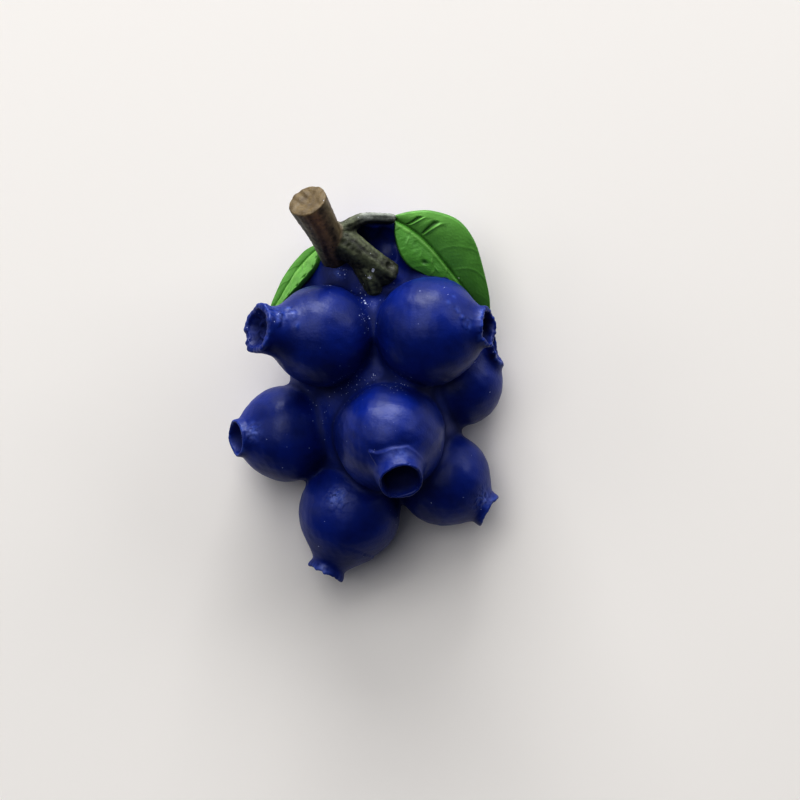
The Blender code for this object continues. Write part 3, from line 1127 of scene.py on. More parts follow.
@dataclass
class Twig:
    """The cut branch, its limb and stub, and the thin leaf stalk.

    The limb goes on past its last station by the overhang and ends round, with the knot as a hole in its
    end. Painted shade lies dark round the fork, and the blush line is a reddish streak down the branch's
    front.
    """

    branch: Branch = Branch((
        ((-8.3, 26.6, 21.5), 2.75), ((-6.2, 22.9, 17.0), 2.3),
        ((-4.8, 19.9, 12.0), 2.15), ((-4.3, 18.8, 9.8), 2.1)), sides=5, ridge=0.06, seed=21)
    limb: Branch = Branch((
        ((-5.4, 22.5, 14.6), 2.2), ((-3.4, 21.4, 15.0), 2.2),
        ((-0.6, 19.4, 14.7), 1.9), ((2.9, 17.1, 13.5), 1.7)), sides=5, ridge=0.10, seed=31, square=0.06)
    stub: Branch = Branch((
        ((-1.2, 19.3, 14.2), 1.7), ((0.1, 17.2, 14.0), 1.75),
        ((0.7, 15.0, 13.5), 1.15)), sides=4, ridge=0.05, seed=41)
    stalk: Branch = Branch((
        ((-4.0, 22.6, 15.4), 1.1), ((-2.5, 23.8, 15.8), 1.0),
        ((-0.4, 24.8, 15.2), 0.8), ((3.2, 24.9, 13.4), 0.7)), sides=3, ridge=0.04, seed=51)
    overhang: float = 1.1
    round_end: float = 1.2
    knot: Station = ((3.1, 18.2, 15.2), 0.6)
    knot_edge: float = 0.25
    cut_edge: float = 0.2
    fork: Station = ((-1.9, 17.9, 14.0), 2.0)
    blush_line: tuple[Vec, Vec] = ((-6.6, 25.2, 21.5), (-4.6, 21.6, 14.8))
    blush_width: float = 1.25
    bare_places: tuple[Station, ...] = (((0.2, 16.5, 15.4), 0.5), ((0.6, 17.5, 15.7), 0.42))
    melt: float = 0.6
    cell: float = 0.17

    def distance(self, points: np.ndarray) -> np.ndarray:
        """Distances to the twig with its bark, its two cut ends and the knot hole at the limb's end.

        Args:
            points: Places in millimetres.

        Returns:
            One distance per point, negative inside.
        """
        end, heading = self.limb.end_face(last=True)
        limb = carve(self.limb.distance(points), (points - end) @ heading - self.overhang, self.round_end)
        centre, size = self.knot
        limb = carve(limb, size - np.linalg.norm(points - centre, axis=1), self.knot_edge)
        trunk = self.branch.distance(points)
        result = trunk
        for part in (limb, self.stub.distance(points), self.stalk.distance(points)):
            result = fuse(result, part, self.melt)
        on_branch, more_on_limb, seam = 0.012, 0.008, 0.8
        crust = on_branch + more_on_limb * ease(trunk - result, 0.0, seam)
        result = result - crust * Ripple(0.8, 40, seed=61).at(points)
        return carve(result, self.cut_height(points), self.cut_edge)

    def cut_place(self, points: np.ndarray) -> tuple[np.ndarray, np.ndarray]:
        """Height over the flat of the cut end, and distance from the branch's axis there."""
        start, heading = self.branch.end_face(last=False)
        height = (points - start) @ heading
        return height, np.linalg.norm(points - start - height[:, None] * heading, axis=1)

    def cut_height(self, points: np.ndarray) -> np.ndarray:
        """Height over the cut end, which is dented in the middle, raised round that, and worn uneven.

        Args:
            points: Places in millimetres.

        Returns:
            One height per point, negative inside the branch.
        """
        dent_depth, dent_width = 0.16, 1.3
        brim_height, brim_radius, brim_width = 0.05, 2.1, 0.3
        height, radial = self.cut_place(points)
        dented = height + dent_depth * bell(radial, dent_width)
        brimmed = dented - brim_height * bell(radial - brim_radius, brim_width)
        return brimmed + Ripple(1.1, seed=62, height=0.03).at(points)

    def rings(self, points: np.ndarray) -> np.ndarray:
        """Faint wavering rings round the middle of the cut end, broken by cloudy patches.

        Args:
            points: Places on the twig.

        Returns:
            What stands for the height of the streaks there.
        """
        spacing, wavering, faintness = 0.9, 1.5, 0.25
        patchiness, lift = 0.4, 0.15
        _, radial = self.cut_place(points)
        patches = Ripple(1.8, seed=63).at(points)
        rings = faintness * np.sin(2.0 * math.pi * radial / spacing + wavering * patches)
        return rings + patchiness * patches + lift

    def flank_paint_and_light(self, angle: np.ndarray) -> np.ndarray:
        """How olive the branch is, partly as painted light on its flanks: not in the middle of its front, and
        nearly wholly 90 degrees off it.
        """
        front, width = math.radians(80.0), math.radians(52.0)
        return 1.0 - bell(wrapped(angle - front), width)

    def sunny(self, points: np.ndarray, angle: np.ndarray) -> np.ndarray:
        """Painted light: how tan the branch is painted, most on its right side, and less at its foot than at
        its top.

        Args:
            points: Places on the twig.
            angle: Angles round the branch.

        Returns:
            A share of the tan wash, which stands for light on that side.
        """
        right, width = math.radians(150.0), math.radians(42.0)
        most, share_at_foot, foot, top = 0.9, 0.7, 12.0, 18.0
        share = share_at_foot + (1.0 - share_at_foot) * ease(points[:, 2], foot, top)
        return most * bell(wrapped(angle - right), width) * share

    # Painted shade: dark paint laid where the twig lies in shade, at its foot, round the fork, at the limb's
    # end and on the sides facing the berries.
    def painted_shade(
        self, points: np.ndarray, shares: Sequence[np.ndarray], angles: Sequence[np.ndarray]
    ) -> np.ndarray:
        """How much painted shade lies on the twig.

        It is dark at the branch's foot, round the fork, at the limb's end, and on the sides of limb and stalk
        that face the berries. On the limb it thins out to the end, and it is thin on the stub.

        Args:
            points: Places on the twig.
            shares: How far each place is off the branch, on the stub and on the stalk, from zero to one.
            angles: Angles round the limb and round the stalk.

        Returns:
            A share of the painted shade.
        """
        (limb, stub, stalk), (limb_angle, stalk_angle) = shares, angles
        run = points[:, 0]
        foot_bottom, foot_top = 12.0, 18.5
        foot = 0.6 * (1.0 - ease(points[:, 2], foot_bottom, foot_top))
        berry_side, width = math.radians(5.0), math.radians(50.0)
        thinner, thin_start, thin_end, thin_on_stub = 0.3, 1.2, 2.6, 0.85
        under = 0.9 * bell(wrapped(limb_angle - berry_side), width)
        under = under * (1.0 - thinner * ease(run, thin_start, thin_end)) * (1.0 - thin_on_stub * stub)
        shade = 0.9 * closeness(points, (self.fork,))
        tip_start, tip_end = 1.4, 2.8
        tip = 0.5 * ease(run, tip_start, tip_end)
        dark_side, light_side = math.radians(35.0), math.radians(80.0)
        below = 0.95 * (1.0 - ease(stalk_angle, dark_side, light_side))
        on_limb = np.maximum.reduce((under, shade, tip))
        on_limb = on_limb + stalk * (below - on_limb)
        return foot + limb * (on_limb - foot)

    def blush(self, points: np.ndarray) -> np.ndarray:
        """How near points lie to the reddish streak down the branch's front.

        Args:
            points: Places on the twig.

        Returns:
            One share per point, from zero far off to one on the streak's line.
        """
        top, bottom = (np.array(end) for end in self.blush_line)
        stretch = bottom - top
        share = np.clip((points - top) @ stretch / (stretch @ stretch), 0.0, 1.0)
        return bell(np.linalg.norm(points - top - share[:, None] * stretch, axis=1), self.blush_width)

    def washes(self, points: np.ndarray) -> dict[str, np.ndarray]:
        """How much of each wash lies on the twig, by the names that its finish reads.

        Args:
            points: Places on the twig.

        Returns:
            One share per point for each wash, and the height of the streaks.
        """
        parts = (self.branch, self.limb, self.stub, self.stalk)
        places = [part.place(points) for part in parts]
        away = np.stack([place[0] for place in places])
        streaks = np.stack([part.streaks(along, angle) for part, (_, along, angle) in zip(parts, places)])
        streak = np.take_along_axis(streaks, away.argmin(axis=0)[None], axis=0)[0]
        below_cut, at_cut, limb_seam, stub_seam, stalk_seam = -0.22, -0.02, 0.4, 0.6, 0.8
        face = ease(self.cut_height(points), below_cut, at_cut)
        limb = ease(away[0] - away[1:].min(axis=0), -limb_seam, limb_seam)
        stub = ease(away[:2].min(axis=0) - away[2], 0.0, stub_seam)
        stalk = ease(away[:3].min(axis=0) - away[3], 0.0, stalk_seam)
        # olive and grey paint on the branch's flanks, partly painted light
        flank_paint_and_light = self.flank_paint_and_light(places[0][2])
        grey_start, grey_full = -1.8, -0.4
        grey = stalk * ease(points[:, 0], grey_start, grey_full)
        olive_share, grey_share, blush_off_cut = 0.6, 0.5, 0.6
        return {
            # the cut end's tan, and painted light: the tan on the branch's right side
            "cut": np.maximum(face, self.sunny(points, places[0][2]) * (1.0 - limb)),
            "limb": np.maximum(limb, olive_share * flank_paint_and_light),
            "stalk": np.maximum(grey, grey_share * (1.0 - limb) * flank_paint_and_light),
            "streak": streak + face * (self.rings(points) - streak),
            "blush": self.blush(points) * (1.0 - blush_off_cut * face),
            # painted shade, kept off the cut end
            "painted_shade": self.painted_shade(points, (limb, stub, stalk), (places[1][2], places[3][2])) * (1.0 - face),
            "bare": closeness(points, self.bare_places),
        }

    def build(self) -> bpy.types.Object:
        """Draw the skin and paint it.

        The branch's root reaches below the box, so the skin is open there, inside the casting.

        Returns:
            The twig's object.
        """
        skin = skin_over(self.distance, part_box("twig"), self.cell)
        item = skin.piece("twig_bark", PaintedBark().material(), self.washes(skin.points))
        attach(item, "root")
        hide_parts("twig")
        return item


# The leaves.


@dataclass(frozen=True)
class Vein:
    """A side vein: where it leaves the midrib and where it ends, as shares of the leaf's length.

    The reach is how far across the half it goes, and the hollow is the depth of the wedge on its stalk side,
    which makes it a crease. A bend over one starts it square to the midrib and turns it to the tip.
    """

    side: int
    root: float
    tip: float
    height: float = 0.07
    width: float = 0.13
    reach: float = 1.0
    hollow: float = 0.0
    bend: float = 1.5

    def relief(self, run: np.ndarray, across: np.ndarray, half: float, length: float) -> np.ndarray:
        """A thin ridge, with a shallow valley on its tip side and, on a crease, a wedge on its stalk side.

        Args:
            run: Run along the leaf for each row.
            across: Place across for each column, from minus one to one.
            half: Half of the leaf's greatest width.
            length: The length of the midrib.

        Returns:
            Relief in millimetres as rows by columns.
        """
        share = np.abs(across)
        path = (self.root + (self.tip - self.root) * share**self.bend) * length
        gap = (run - path) / math.hypot(1.0, (self.tip - self.root) * length / half)
        begin, begun, ending = 0.03, 0.14, 0.12
        there = ease(across * self.side, begin, begun) * (1.0 - ease(share, self.reach - ending, self.reach))
        valley_depth, valley_place, valley_width = 0.35, 0.5, 0.45
        valley = valley_depth * self.height * bell(gap - valley_place, valley_width)
        wedge_place, wedge_width, opening = 0.2, 0.12, 0.4
        wedge = self.hollow * bell(gap + wedge_place + opening * share, wedge_width + opening * share)
        return there * (self.height * bell(gap, self.width) - valley - wedge)


@dataclass(frozen=True)
class Mark:
    """A ridge or, if the height is negative, a pit in a leaf: its middle, half length and half width.

    The place is a share of the length and a share of the half across, and the turn runs from the leaf's
    length towards its outer side, in degrees.
    """

    along: float
    across: float
    length: float
    width: float
    height: float
    turn: float = 0.0

    def relief(self, run: np.ndarray, side: np.ndarray, half: np.ndarray, length: float) -> np.ndarray:
        """A bell curve along the mark times one across it.

        Args:
            run: Run along the leaf for each row.
            side: Distance from the midrib as rows by columns.
            half: Half of the leaf's width for each row.
            length: The length of the midrib.

        Returns:
            Relief in millimetres as rows by columns.
        """
        turn = math.radians(self.turn)
        ahead, aside = run - self.along * length, side - self.across * half
        lengthwise = ahead * math.cos(turn) + aside * math.sin(turn)
        sideways = aside * math.cos(turn) - ahead * math.sin(turn)
        return self.height * bell(lengthwise, self.length) * bell(sideways, self.width)


@dataclass(frozen=True)
class Pale:
    """How light the paint is on the inner half, the outer half, and the outer margin near the stalk."""

    inner: float = 0.85
    outer: float = 0.85
    margin: float = 0.85


def tube_faces(rows: int, count: int) -> np.ndarray:
    """Triangles over rings of points, closed to a pole at each end.

    Args:
        rows: How many rings there are.
        count: How many points are in a ring. The two poles' points come after those of all the rings.

    Returns:
        Faces as rows of three point numbers.
    """
    here = np.arange(rows * count).reshape(rows, count)
    there = np.roll(here, -1, axis=1)
    first, last = np.full(count, rows * count), np.full(count, rows * count + 1)
    a, b, c, d = (grid.ravel() for grid in (here[:-1], there[:-1], there[1:], here[1:]))
    triangles = ((a, b, c), (a, c, d), (there[0], here[0], first), (here[-1], there[-1], last))
    return np.concatenate([np.stack(corners, 1) for corners in triangles])


@dataclass(frozen=True)
class Leaf:
    """A thick moulded leaf, carried by its midrib and its two margins from stalk to tip."""

    name: str
    node: str
    outer: tuple[Vec, ...]
    midrib: tuple[Vec, ...]
    inner: tuple[Vec, ...]
    veins: tuple[Vein, ...] = ()
    marks: tuple[Mark, ...] = ()
    pale: Pale = Pale()
    thickness: float = 1.0
    camber: float = 0.045
    groove: float = 0.16
    grain_seed: int = 71
    rows: int = 230
    columns: int = 120
    under_columns: int = 24
    edge_steps: int = 6
    edge_share: float = 0.94
    # Painted shade: the leaf's sides and underside are painted darker than its upper side.
    shaded_edge_lightness: float = 0.2

    def ring(self) -> tuple[np.ndarray, np.ndarray]:
        """The cross-section, from the upper side round the outer margin and back under the leaf.

        Returns:
            Place across the leaf, and height over its middle, both from minus one to one.
        """
        top = np.linspace(-self.edge_share, self.edge_share, self.columns)
        turn = np.linspace(math.pi / 2, -math.pi / 2, self.edge_steps + 2)[1:-1]
        bend = self.edge_share + (1.0 - self.edge_share) * np.cos(turn)
        under = np.linspace(self.edge_share, -self.edge_share, self.under_columns)
        across = np.concatenate((top, bend, under, -bend[::-1]))
        height = np.concatenate((np.ones_like(top), np.sin(turn), -np.ones_like(under), np.sin(turn[::-1])))
        return across, height

    def middle(self, across: np.ndarray) -> tuple[np.ndarray, np.ndarray]:
        """The leaf's middle surface: straight from margin to midrib in each half, with a half sine of camber.

        Args:
            across: Places across the leaf, from minus one at the inner margin to one at the outer.

        Returns:
            Points as rows by columns by three, and the leaf's width at each row.
        """
        lines = (self.outer, self.midrib, self.inner)
        outer, midrib, inner = (smooth_line(line, self.rows) for line in lines)
        share = np.abs(across)[None, :, None]
        margin = np.where(across[None, :, None] > 0, outer[:, None], inner[:, None])
        width = np.linalg.norm(outer - inner, axis=1)
        bulge = self.camber * width[:, None, None] * np.sin(math.pi * share) * UP
        return midrib[:, None] * (1.0 - share) + margin * share + bulge, width

    def relief(self, along: np.ndarray, across: np.ndarray, width: np.ndarray, length: float) -> np.ndarray:
        """How far the upper side stands out.

        The midrib is a narrow groove with a soft ridge on its inner side, and both fade to the tip. Veins,
        marks, a slight thickening at the margins and the grain come on top.

        Args:
            along: Share of the length for each row.
            across: Place across for each column.
            width: The width of each row.
            length: The length of the midrib.

        Returns:
            Relief in millimetres as rows by columns.
        """
        run, half = along[:, None] * length, width[:, None] / 2.0
        side = across[None, :] * half
        faded, fade_start = 0.7, 0.75
        ridge_height, ridge_place, ridge_width, groove_width = 0.14, 0.5, 0.35, 0.2
        midrib = ridge_height * bell(side + ridge_place, ridge_width) - self.groove * bell(side, groove_width)
        result = midrib * (1.0 - faded * ease(along, fade_start, 1.0)[:, None])
        for vein in self.veins:
            result = result + vein.relief(run, across[None, :], half.max(), length)
        for mark in self.marks:
            result = result + mark.relief(run, side, half, length)
        thicker, margin_width, margin_full = 0.01, 0.6, 0.15
        margin = thicker * ease(np.abs(side), half - margin_width, half - margin_full)
        return result + margin + self.grain(run, side, across)

    def grain(self, run: np.ndarray, side: np.ndarray, across: np.ndarray) -> np.ndarray:
        """Fine pits and broad waves on the upper side, and small lumps on its inner half.

        Args:
            run: Run along the leaf for each row.
            side: Distance from the midrib as rows by columns.
            across: Place across for each column.

        Returns:
            Relief in millimetres as rows by columns.
        """
        flat = np.stack(np.broadcast_arrays(run, side), axis=-1).reshape(-1, 2)
        pits = Ripple(0.5, 14, self.grain_seed, height=0.004).at(flat)
        waves = Ripple(2.6, 9, self.grain_seed + 1, height=0.018).at(flat)
        lumps = Ripple(1.2, 40, self.grain_seed + 2, height=0.009).at(flat)
        lumps_start, lumps_full = 0.05, 0.3
        inner = ease(-across, lumps_start, lumps_full)[None, :]
        return (pits + waves).reshape(side.shape) + lumps.reshape(side.shape) * inner

    def lightness(self, along: np.ndarray, across: np.ndarray) -> np.ndarray:
        """How light the paint is: from the inner half's lightness by smooth steps to the outer one's.

        Args:
            along: Share of the length for each row.
            across: Place across for each column.

        Returns:
            A share of the light green as rows by columns.
        """
        far_from_margin, margin_start = 0.35, 0.3
        pale_end, green_start = 0.12, 0.75
        inner_end, outer_start = -0.05, 0.08
        rim = far_from_margin + (1.0 - far_from_margin) * ease(across, margin_start, 1.0)
        rim = rim[None, :] * (1.0 - ease(along, pale_end, green_start))[:, None]
        outer = self.pale.outer + (self.pale.margin - self.pale.outer) * rim
        return self.pale.inner + (outer - self.pale.inner) * ease(across, inner_end, outer_start)[None, :]

    def facing(self) -> np.ndarray:
        """The way that the leaf faces on the whole.

        Returns:
            The mean of its middle surface's normals, at length one and pointing up.
        """
        surface, _ = self.middle(np.linspace(-1.0, 1.0, self.columns))
        sideways, lengthwise = unit(np.gradient(surface, axis=1)), unit(np.gradient(surface, axis=0))
        facing = unit(np.cross(sideways, lengthwise).mean(axis=(0, 1)))
        return facing * math.copysign(1.0, facing[2])

    def skin(self) -> tuple[Skin, dict[str, np.ndarray]]:
        """The leaf as a ring of points carried from stalk to tip and closed to a point at both ends.

        Returns:
            The skin, and what the material reads: how light the paint is, and how far the relief stands out.
        """
        across, height = self.ring()
        surface, width = self.middle(across)
        along = np.linspace(0.0, 1.0, self.rows)
        spine = smooth_line(self.midrib, self.rows)
        length = float(np.linalg.norm(np.diff(spine, axis=0), axis=1).sum())
        bluntness, thinnest = 24, 0.04
        ends = np.sqrt(np.clip(1.0 - (2.0 * along - 1.0) ** bluntness, thinnest, 1.0))
        upper = np.isclose(height, 1.0)
        lift = self.relief(along, across, width, length) * upper[None, :]
        rise = 0.5 * self.thickness * height[None, :] * ends[:, None] + lift
        rings = surface + self.facing() * rise[:, :, None]
        poles = np.stack((rings[0].mean(axis=0), rings[-1].mean(axis=0)))
        points, faces = np.vstack((rings.reshape(-1, 3), poles)), tube_faces(self.rows, len(across))
        corner = points[faces]
        volume = np.einsum("ij,ij->i", corner[:, 0], np.cross(corner[:, 1], corner[:, 2])).sum()
        if volume < 0.0:
            faces = faces[:, ::-1]
        # painted shade on the sides and underside
        light = self.lightness(along, across) * np.where(upper, 1.0, self.shaded_edge_lightness)[None, :]
        attributes = {
            "light": np.append(light.ravel(), (0.0, 0.0)),
            "relief": np.append(lift.ravel(), (0.0, 0.0)),
        }
        return Skin(points, faces), attributes

    def build(self) -> bpy.types.Object:
        """Make the leaf and paint it.

        Returns:
            The leaf's object.
        """
        skin, attributes = self.skin()
        item = skin.piece(self.name, PaintedLeaf().material(), attributes)
        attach(item, "root")
        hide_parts(self.node)
        return item


def two_leaves() -> tuple[Leaf, ...]:
    """The large leaf at the right and the small one at the left."""
    right = Leaf(
        "leaf_right_blade", "leaf_right",
        outer=(
            (3.7, 25.4, 12.6), (6.1, 26.0, 12.4), (9.0, 26.1, 12.2), (12.6, 24.9, 11.8),
            (14.9, 22.2, 11.0), (16.2, 18.6, 9.6), (17.3, 14.0, 7.4), (17.3, 10.6, 5.6)),
        midrib=(
            (3.7, 24.9, 12.3), (5.6, 23.9, 11.9), (7.4, 22.6, 11.4), (9.2, 20.8, 10.8),
            (11.2, 18.4, 9.9), (13.2, 15.9, 8.8), (15.4, 13.0, 7.0), (16.9, 10.6, 5.2)),
        inner=(
            (3.6, 24.2, 12.6), (3.7, 22.3, 12.9), (4.4, 19.9, 12.9), (5.8, 18.1, 12.2),
            (8.2, 16.9, 10.9), (11.0, 14.9, 9.2), (14.0, 12.4, 7.2), (16.5, 10.6, 5.4)),
        veins=(
            Vein(1, 0.12, 0.30, 0.14, 0.22, reach=0.76, hollow=0.28, bend=1.0),
            Vein(1, 0.285, 0.40, 0.16, 0.20, reach=0.74, hollow=0.28, bend=1.0),
            Vein(1, 0.455, 0.655, 0.035, 0.16), Vein(1, 0.615, 0.79, 0.045, 0.16),
            Vein(1, 0.78, 0.90, 0.02, 0.16)),
        marks=(
            Mark(0.235, -0.50, 0.6, 0.14, 0.09, -47.0), Mark(0.20, -0.20, 0.6, 0.25, -0.06, -60.0),
            Mark(0.40, -0.45, 0.5, 0.14, 0.09, -47.0), Mark(0.30, -0.35, 0.5, 0.3, -0.06, -50.0),
            Mark(0.468, -0.55, 0.55, 0.40, -0.22), Mark(0.49, -0.36, 0.7, 0.13, 0.11, -47.0),
            Mark(0.555, -0.46, 0.5, 0.13, 0.10, -15.0), Mark(0.60, -0.25, 0.7, 0.13, 0.08, -50.0),
            Mark(0.56, -0.70, 0.8, 0.16, 0.08, -70.0)),
        pale=Pale(0.12, 0.34, 0.85))
    left = Leaf(
        "leaf_left_blade", "leaf_left",
        outer=(
            (-7.3, 21.5, 9.3), (-9.1, 20.5, 8.3), (-10.7, 18.9, 7.0), (-12.0, 17.2, 6.2),
            (-13.2, 14.9, 5.6), (-14.0, 12.8, 5.2), (-14.3, 11.4, 5.0)),
        midrib=(
            (-7.0, 20.9, 9.5), (-8.4, 19.7, 8.9), (-9.9, 18.2, 7.9), (-11.2, 16.3, 7.2),
            (-12.4, 14.4, 6.2), (-13.5, 12.6, 5.4), (-14.0, 11.4, 5.0)),
        inner=(
            (-6.9, 20.5, 10.8), (-7.3, 18.5, 11.6), (-8.5, 16.9, 10.7), (-10.2, 15.2, 9.3),
            (-11.8, 13.6, 7.8), (-13.0, 12.2, 6.2), (-13.7, 11.4, 5.2)),
        veins=(
            Vein(-1, 0.25, 0.40, 0.04), Vein(-1, 0.45, 0.62, 0.04),
            Vein(1, 0.3, 0.45, 0.04), Vein(1, 0.5, 0.65, 0.04)),
        marks=(
            Mark(0.10, -0.80, 0.35, 0.14, -0.22, 20.0), Mark(0.22, -0.88, 0.30, 0.12, -0.25, -15.0),
            Mark(0.36, -0.84, 0.40, 0.12, -0.20, 10.0), Mark(0.47, -0.90, 0.25, 0.12, -0.22),
            Mark(0.60, -0.86, 0.35, 0.10, -0.18, -10.0), Mark(0.30, -0.45, 0.8, 0.12, 0.06, -40.0),
            Mark(0.50, -0.45, 0.7, 0.12, 0.05, -40.0)),
        pale=Pale(0.54, 0.38, 0.38), camber=0.03, groove=0.10, grain_seed=81)
    return right, left


# Finishes.


def attribute(tree: bpy.types.NodeTree, name: str) -> bpy.types.NodeSocket:
    """The value of one of the piece's own attributes."""
    return add(tree, "ShaderNodeAttribute", attribute_name=name).outputs["Fac"]


def blend(tree: bpy.types.NodeTree, share: Any, first: Any, second: Any) -> bpy.types.NodeSocket:
    """A colour part of the way from the first to the second.

    Args:
        tree: The node tree.
        share: How far to go, as a value or a socket.
        first: The colour at zero, as a hex code or a socket.
        second: The colour at one, as a hex code or a socket.

    Returns:
        The colour's socket.
    """
    first, second = (linear(colour) if isinstance(colour, str) else colour for colour in (first, second))
    return add(tree, "ShaderNodeMix", {"Factor": share, 6: first, 7: second}, data_type="RGBA").outputs[2]


def spread(tree: bpy.types.NodeTree, value: Any, start: float, end: float, low: float, high: float) -> Any:
    """Stretch a value to run from low to high while it goes from start to end, and to stay between."""
    return add(tree, "ShaderNodeMapRange", {0: value, 1: start, 2: end, 3: low, 4: high}).outputs[0]


def reckon(tree: bpy.types.NodeTree, operation: str, *values: Any, clamp: bool = False) -> Any:
    """The result of a maths operation on values or sockets, kept from zero to one if it is clamped."""
    node = add(tree, "ShaderNodeMath", dict(enumerate(values)), operation=operation, use_clamp=clamp)
    return node.outputs[0]


def reckon_vector(tree: bpy.types.NodeTree, operation: str, first: Any, second: Any) -> Any:
    """The outputs of a maths operation on two vectors: Vector for a place, and Value for a number."""
    return add(tree, "ShaderNodeVectorMath", {0: first, 1: second}, operation=operation).outputs


def noise(tree: bpy.types.NodeTree, place: Any, size: float, detail: float = 3.0) -> Any:
    """Cloudy noise whose patches are about as many millimetres across as the size says."""
    inputs = {"Vector": place, "Scale": 1.0 / (size * MM), "Detail": detail}
    return add(tree, "ShaderNodeTexNoise", inputs).outputs["Fac"]


@dataclass(frozen=True)
class Mottle:
    """Cloudy patches: their size, where in the noise they start and are full, and the shares there."""

    size: float
    start: float
    end: float
    full: float = 1.0
    least: float = 0.0
    detail: float = 3.0

    def share(self, tree: bpy.types.NodeTree, place: Any) -> Any:
        """How much there is at each place: the least outside the patches, and the full share in them."""
        cloud = noise(tree, place, self.size, self.detail)
        return spread(tree, cloud, self.start, self.end, self.least, self.full)


@dataclass(frozen=True)
class Chips:
    """Small ragged spots where the paint is off: one at the middle of some of the cells of a Voronoi pattern.

    The cell is in millimetres, the radius of the largest spot and the raggedness are shares of a cell, and
    the smallest and faintest spots are shares of the largest and barest.
    """

    cell: float
    radius: float
    raggedness: float = 0.25
    smallest: float = 0.35
    faintest: float = 0.2

    def spots(self, tree: bpy.types.NodeTree, place: Any, share: Any) -> Any:
        """Draw which cells have a spot, how large it is, and how bare.

        Args:
            tree: The node tree.
            place: The place on the piece.
            share: The share of the cells that have a spot.

        Returns:
            How bare the paint is: from the faintest to one in the spots, and zero outside.
        """
        inputs = {"Vector": place, "Scale": 3.0 / (self.cell * MM), "Detail": 1.0}
        jitter = add(tree, "ShaderNodeTexNoise", inputs).outputs["Color"]
        shift = reckon_vector(tree, "MULTIPLY", jitter, (self.raggedness * self.cell * MM,) * 3)["Vector"]
        moved = reckon_vector(tree, "ADD", place, shift)["Vector"]
        cells = add(tree, "ShaderNodeTexVoronoi", {"Vector": moved, "Scale": 1.0 / (self.cell * MM)})
        draw = add(tree, "ShaderNodeSeparateColor", {0: cells.outputs["Color"]})
        size = spread(tree, draw.outputs[1], 0.0, 1.0, self.smallest * self.radius, self.radius)
        near = reckon(tree, "LESS_THAN", cells.outputs["Distance"], size)
        lucky = reckon(tree, "LESS_THAN", draw.outputs[0], share)
        strong = spread(tree, draw.outputs[2], 0.0, 1.0, self.faintest, 1.0)
        return reckon(tree, "MULTIPLY", reckon(tree, "MULTIPLY", near, lucky), strong)


@dataclass(frozen=True)
class Finish:
    """What every painted finish has: a name, a roughness, a gloss, and the relief of its grain."""

    name: str
    roughness: float = 0.45
    gloss: float = 0.5
    grain: float = 0.3
    grain_depth: float = 0.02
    wander: float = 0.05
    duller: float = 0.35

    def begin(self) -> tuple[bpy.types.Material, bpy.types.NodeTree, Any, Any]:
        """Start the material.

        Returns:
            The material, its node tree, its shader, and the place on the piece.
        """
        material = bpy.data.materials.new(self.name)
        material.use_nodes = True
        tree = material.node_tree
        shader = tree.nodes["Principled BSDF"]
        shader.inputs["Specular IOR Level"].default_value = self.gloss
        return material, tree, shader, add(tree, "ShaderNodeTexCoord").outputs["Object"]

    def dress(self, tree: bpy.types.NodeTree, shader: Any, place: Any, colour: Any, dull: Any = 0.0) -> None:
        """Give the shader its colour, a roughness that wanders a little, and the grain as bump.

        Args:
            tree: The node tree.
            shader: The shader.
            place: The place on the piece.
            colour: The colour's socket.
            dull: Where the surface is rougher than elsewhere, from zero to one.
        """
        tree.links.new(colour, shader.inputs["Base Color"])
        patches = Mottle(2.5, 0.3, 0.7, full=self.roughness + self.wander, least=self.roughness - self.wander)
        rough = reckon(tree, "MULTIPLY_ADD", dull, self.duller, patches.share(tree, place))
        tree.links.new(rough, shader.inputs["Roughness"])
        height = noise(tree, place, self.grain, detail=4.0)
        inputs = {"Height": height, "Distance": self.grain_depth * MM, "Strength": 1.0}
        bump = add(tree, "ShaderNodeBump", inputs)
        tree.links.new(bump.outputs["Normal"], shader.inputs["Normal"])


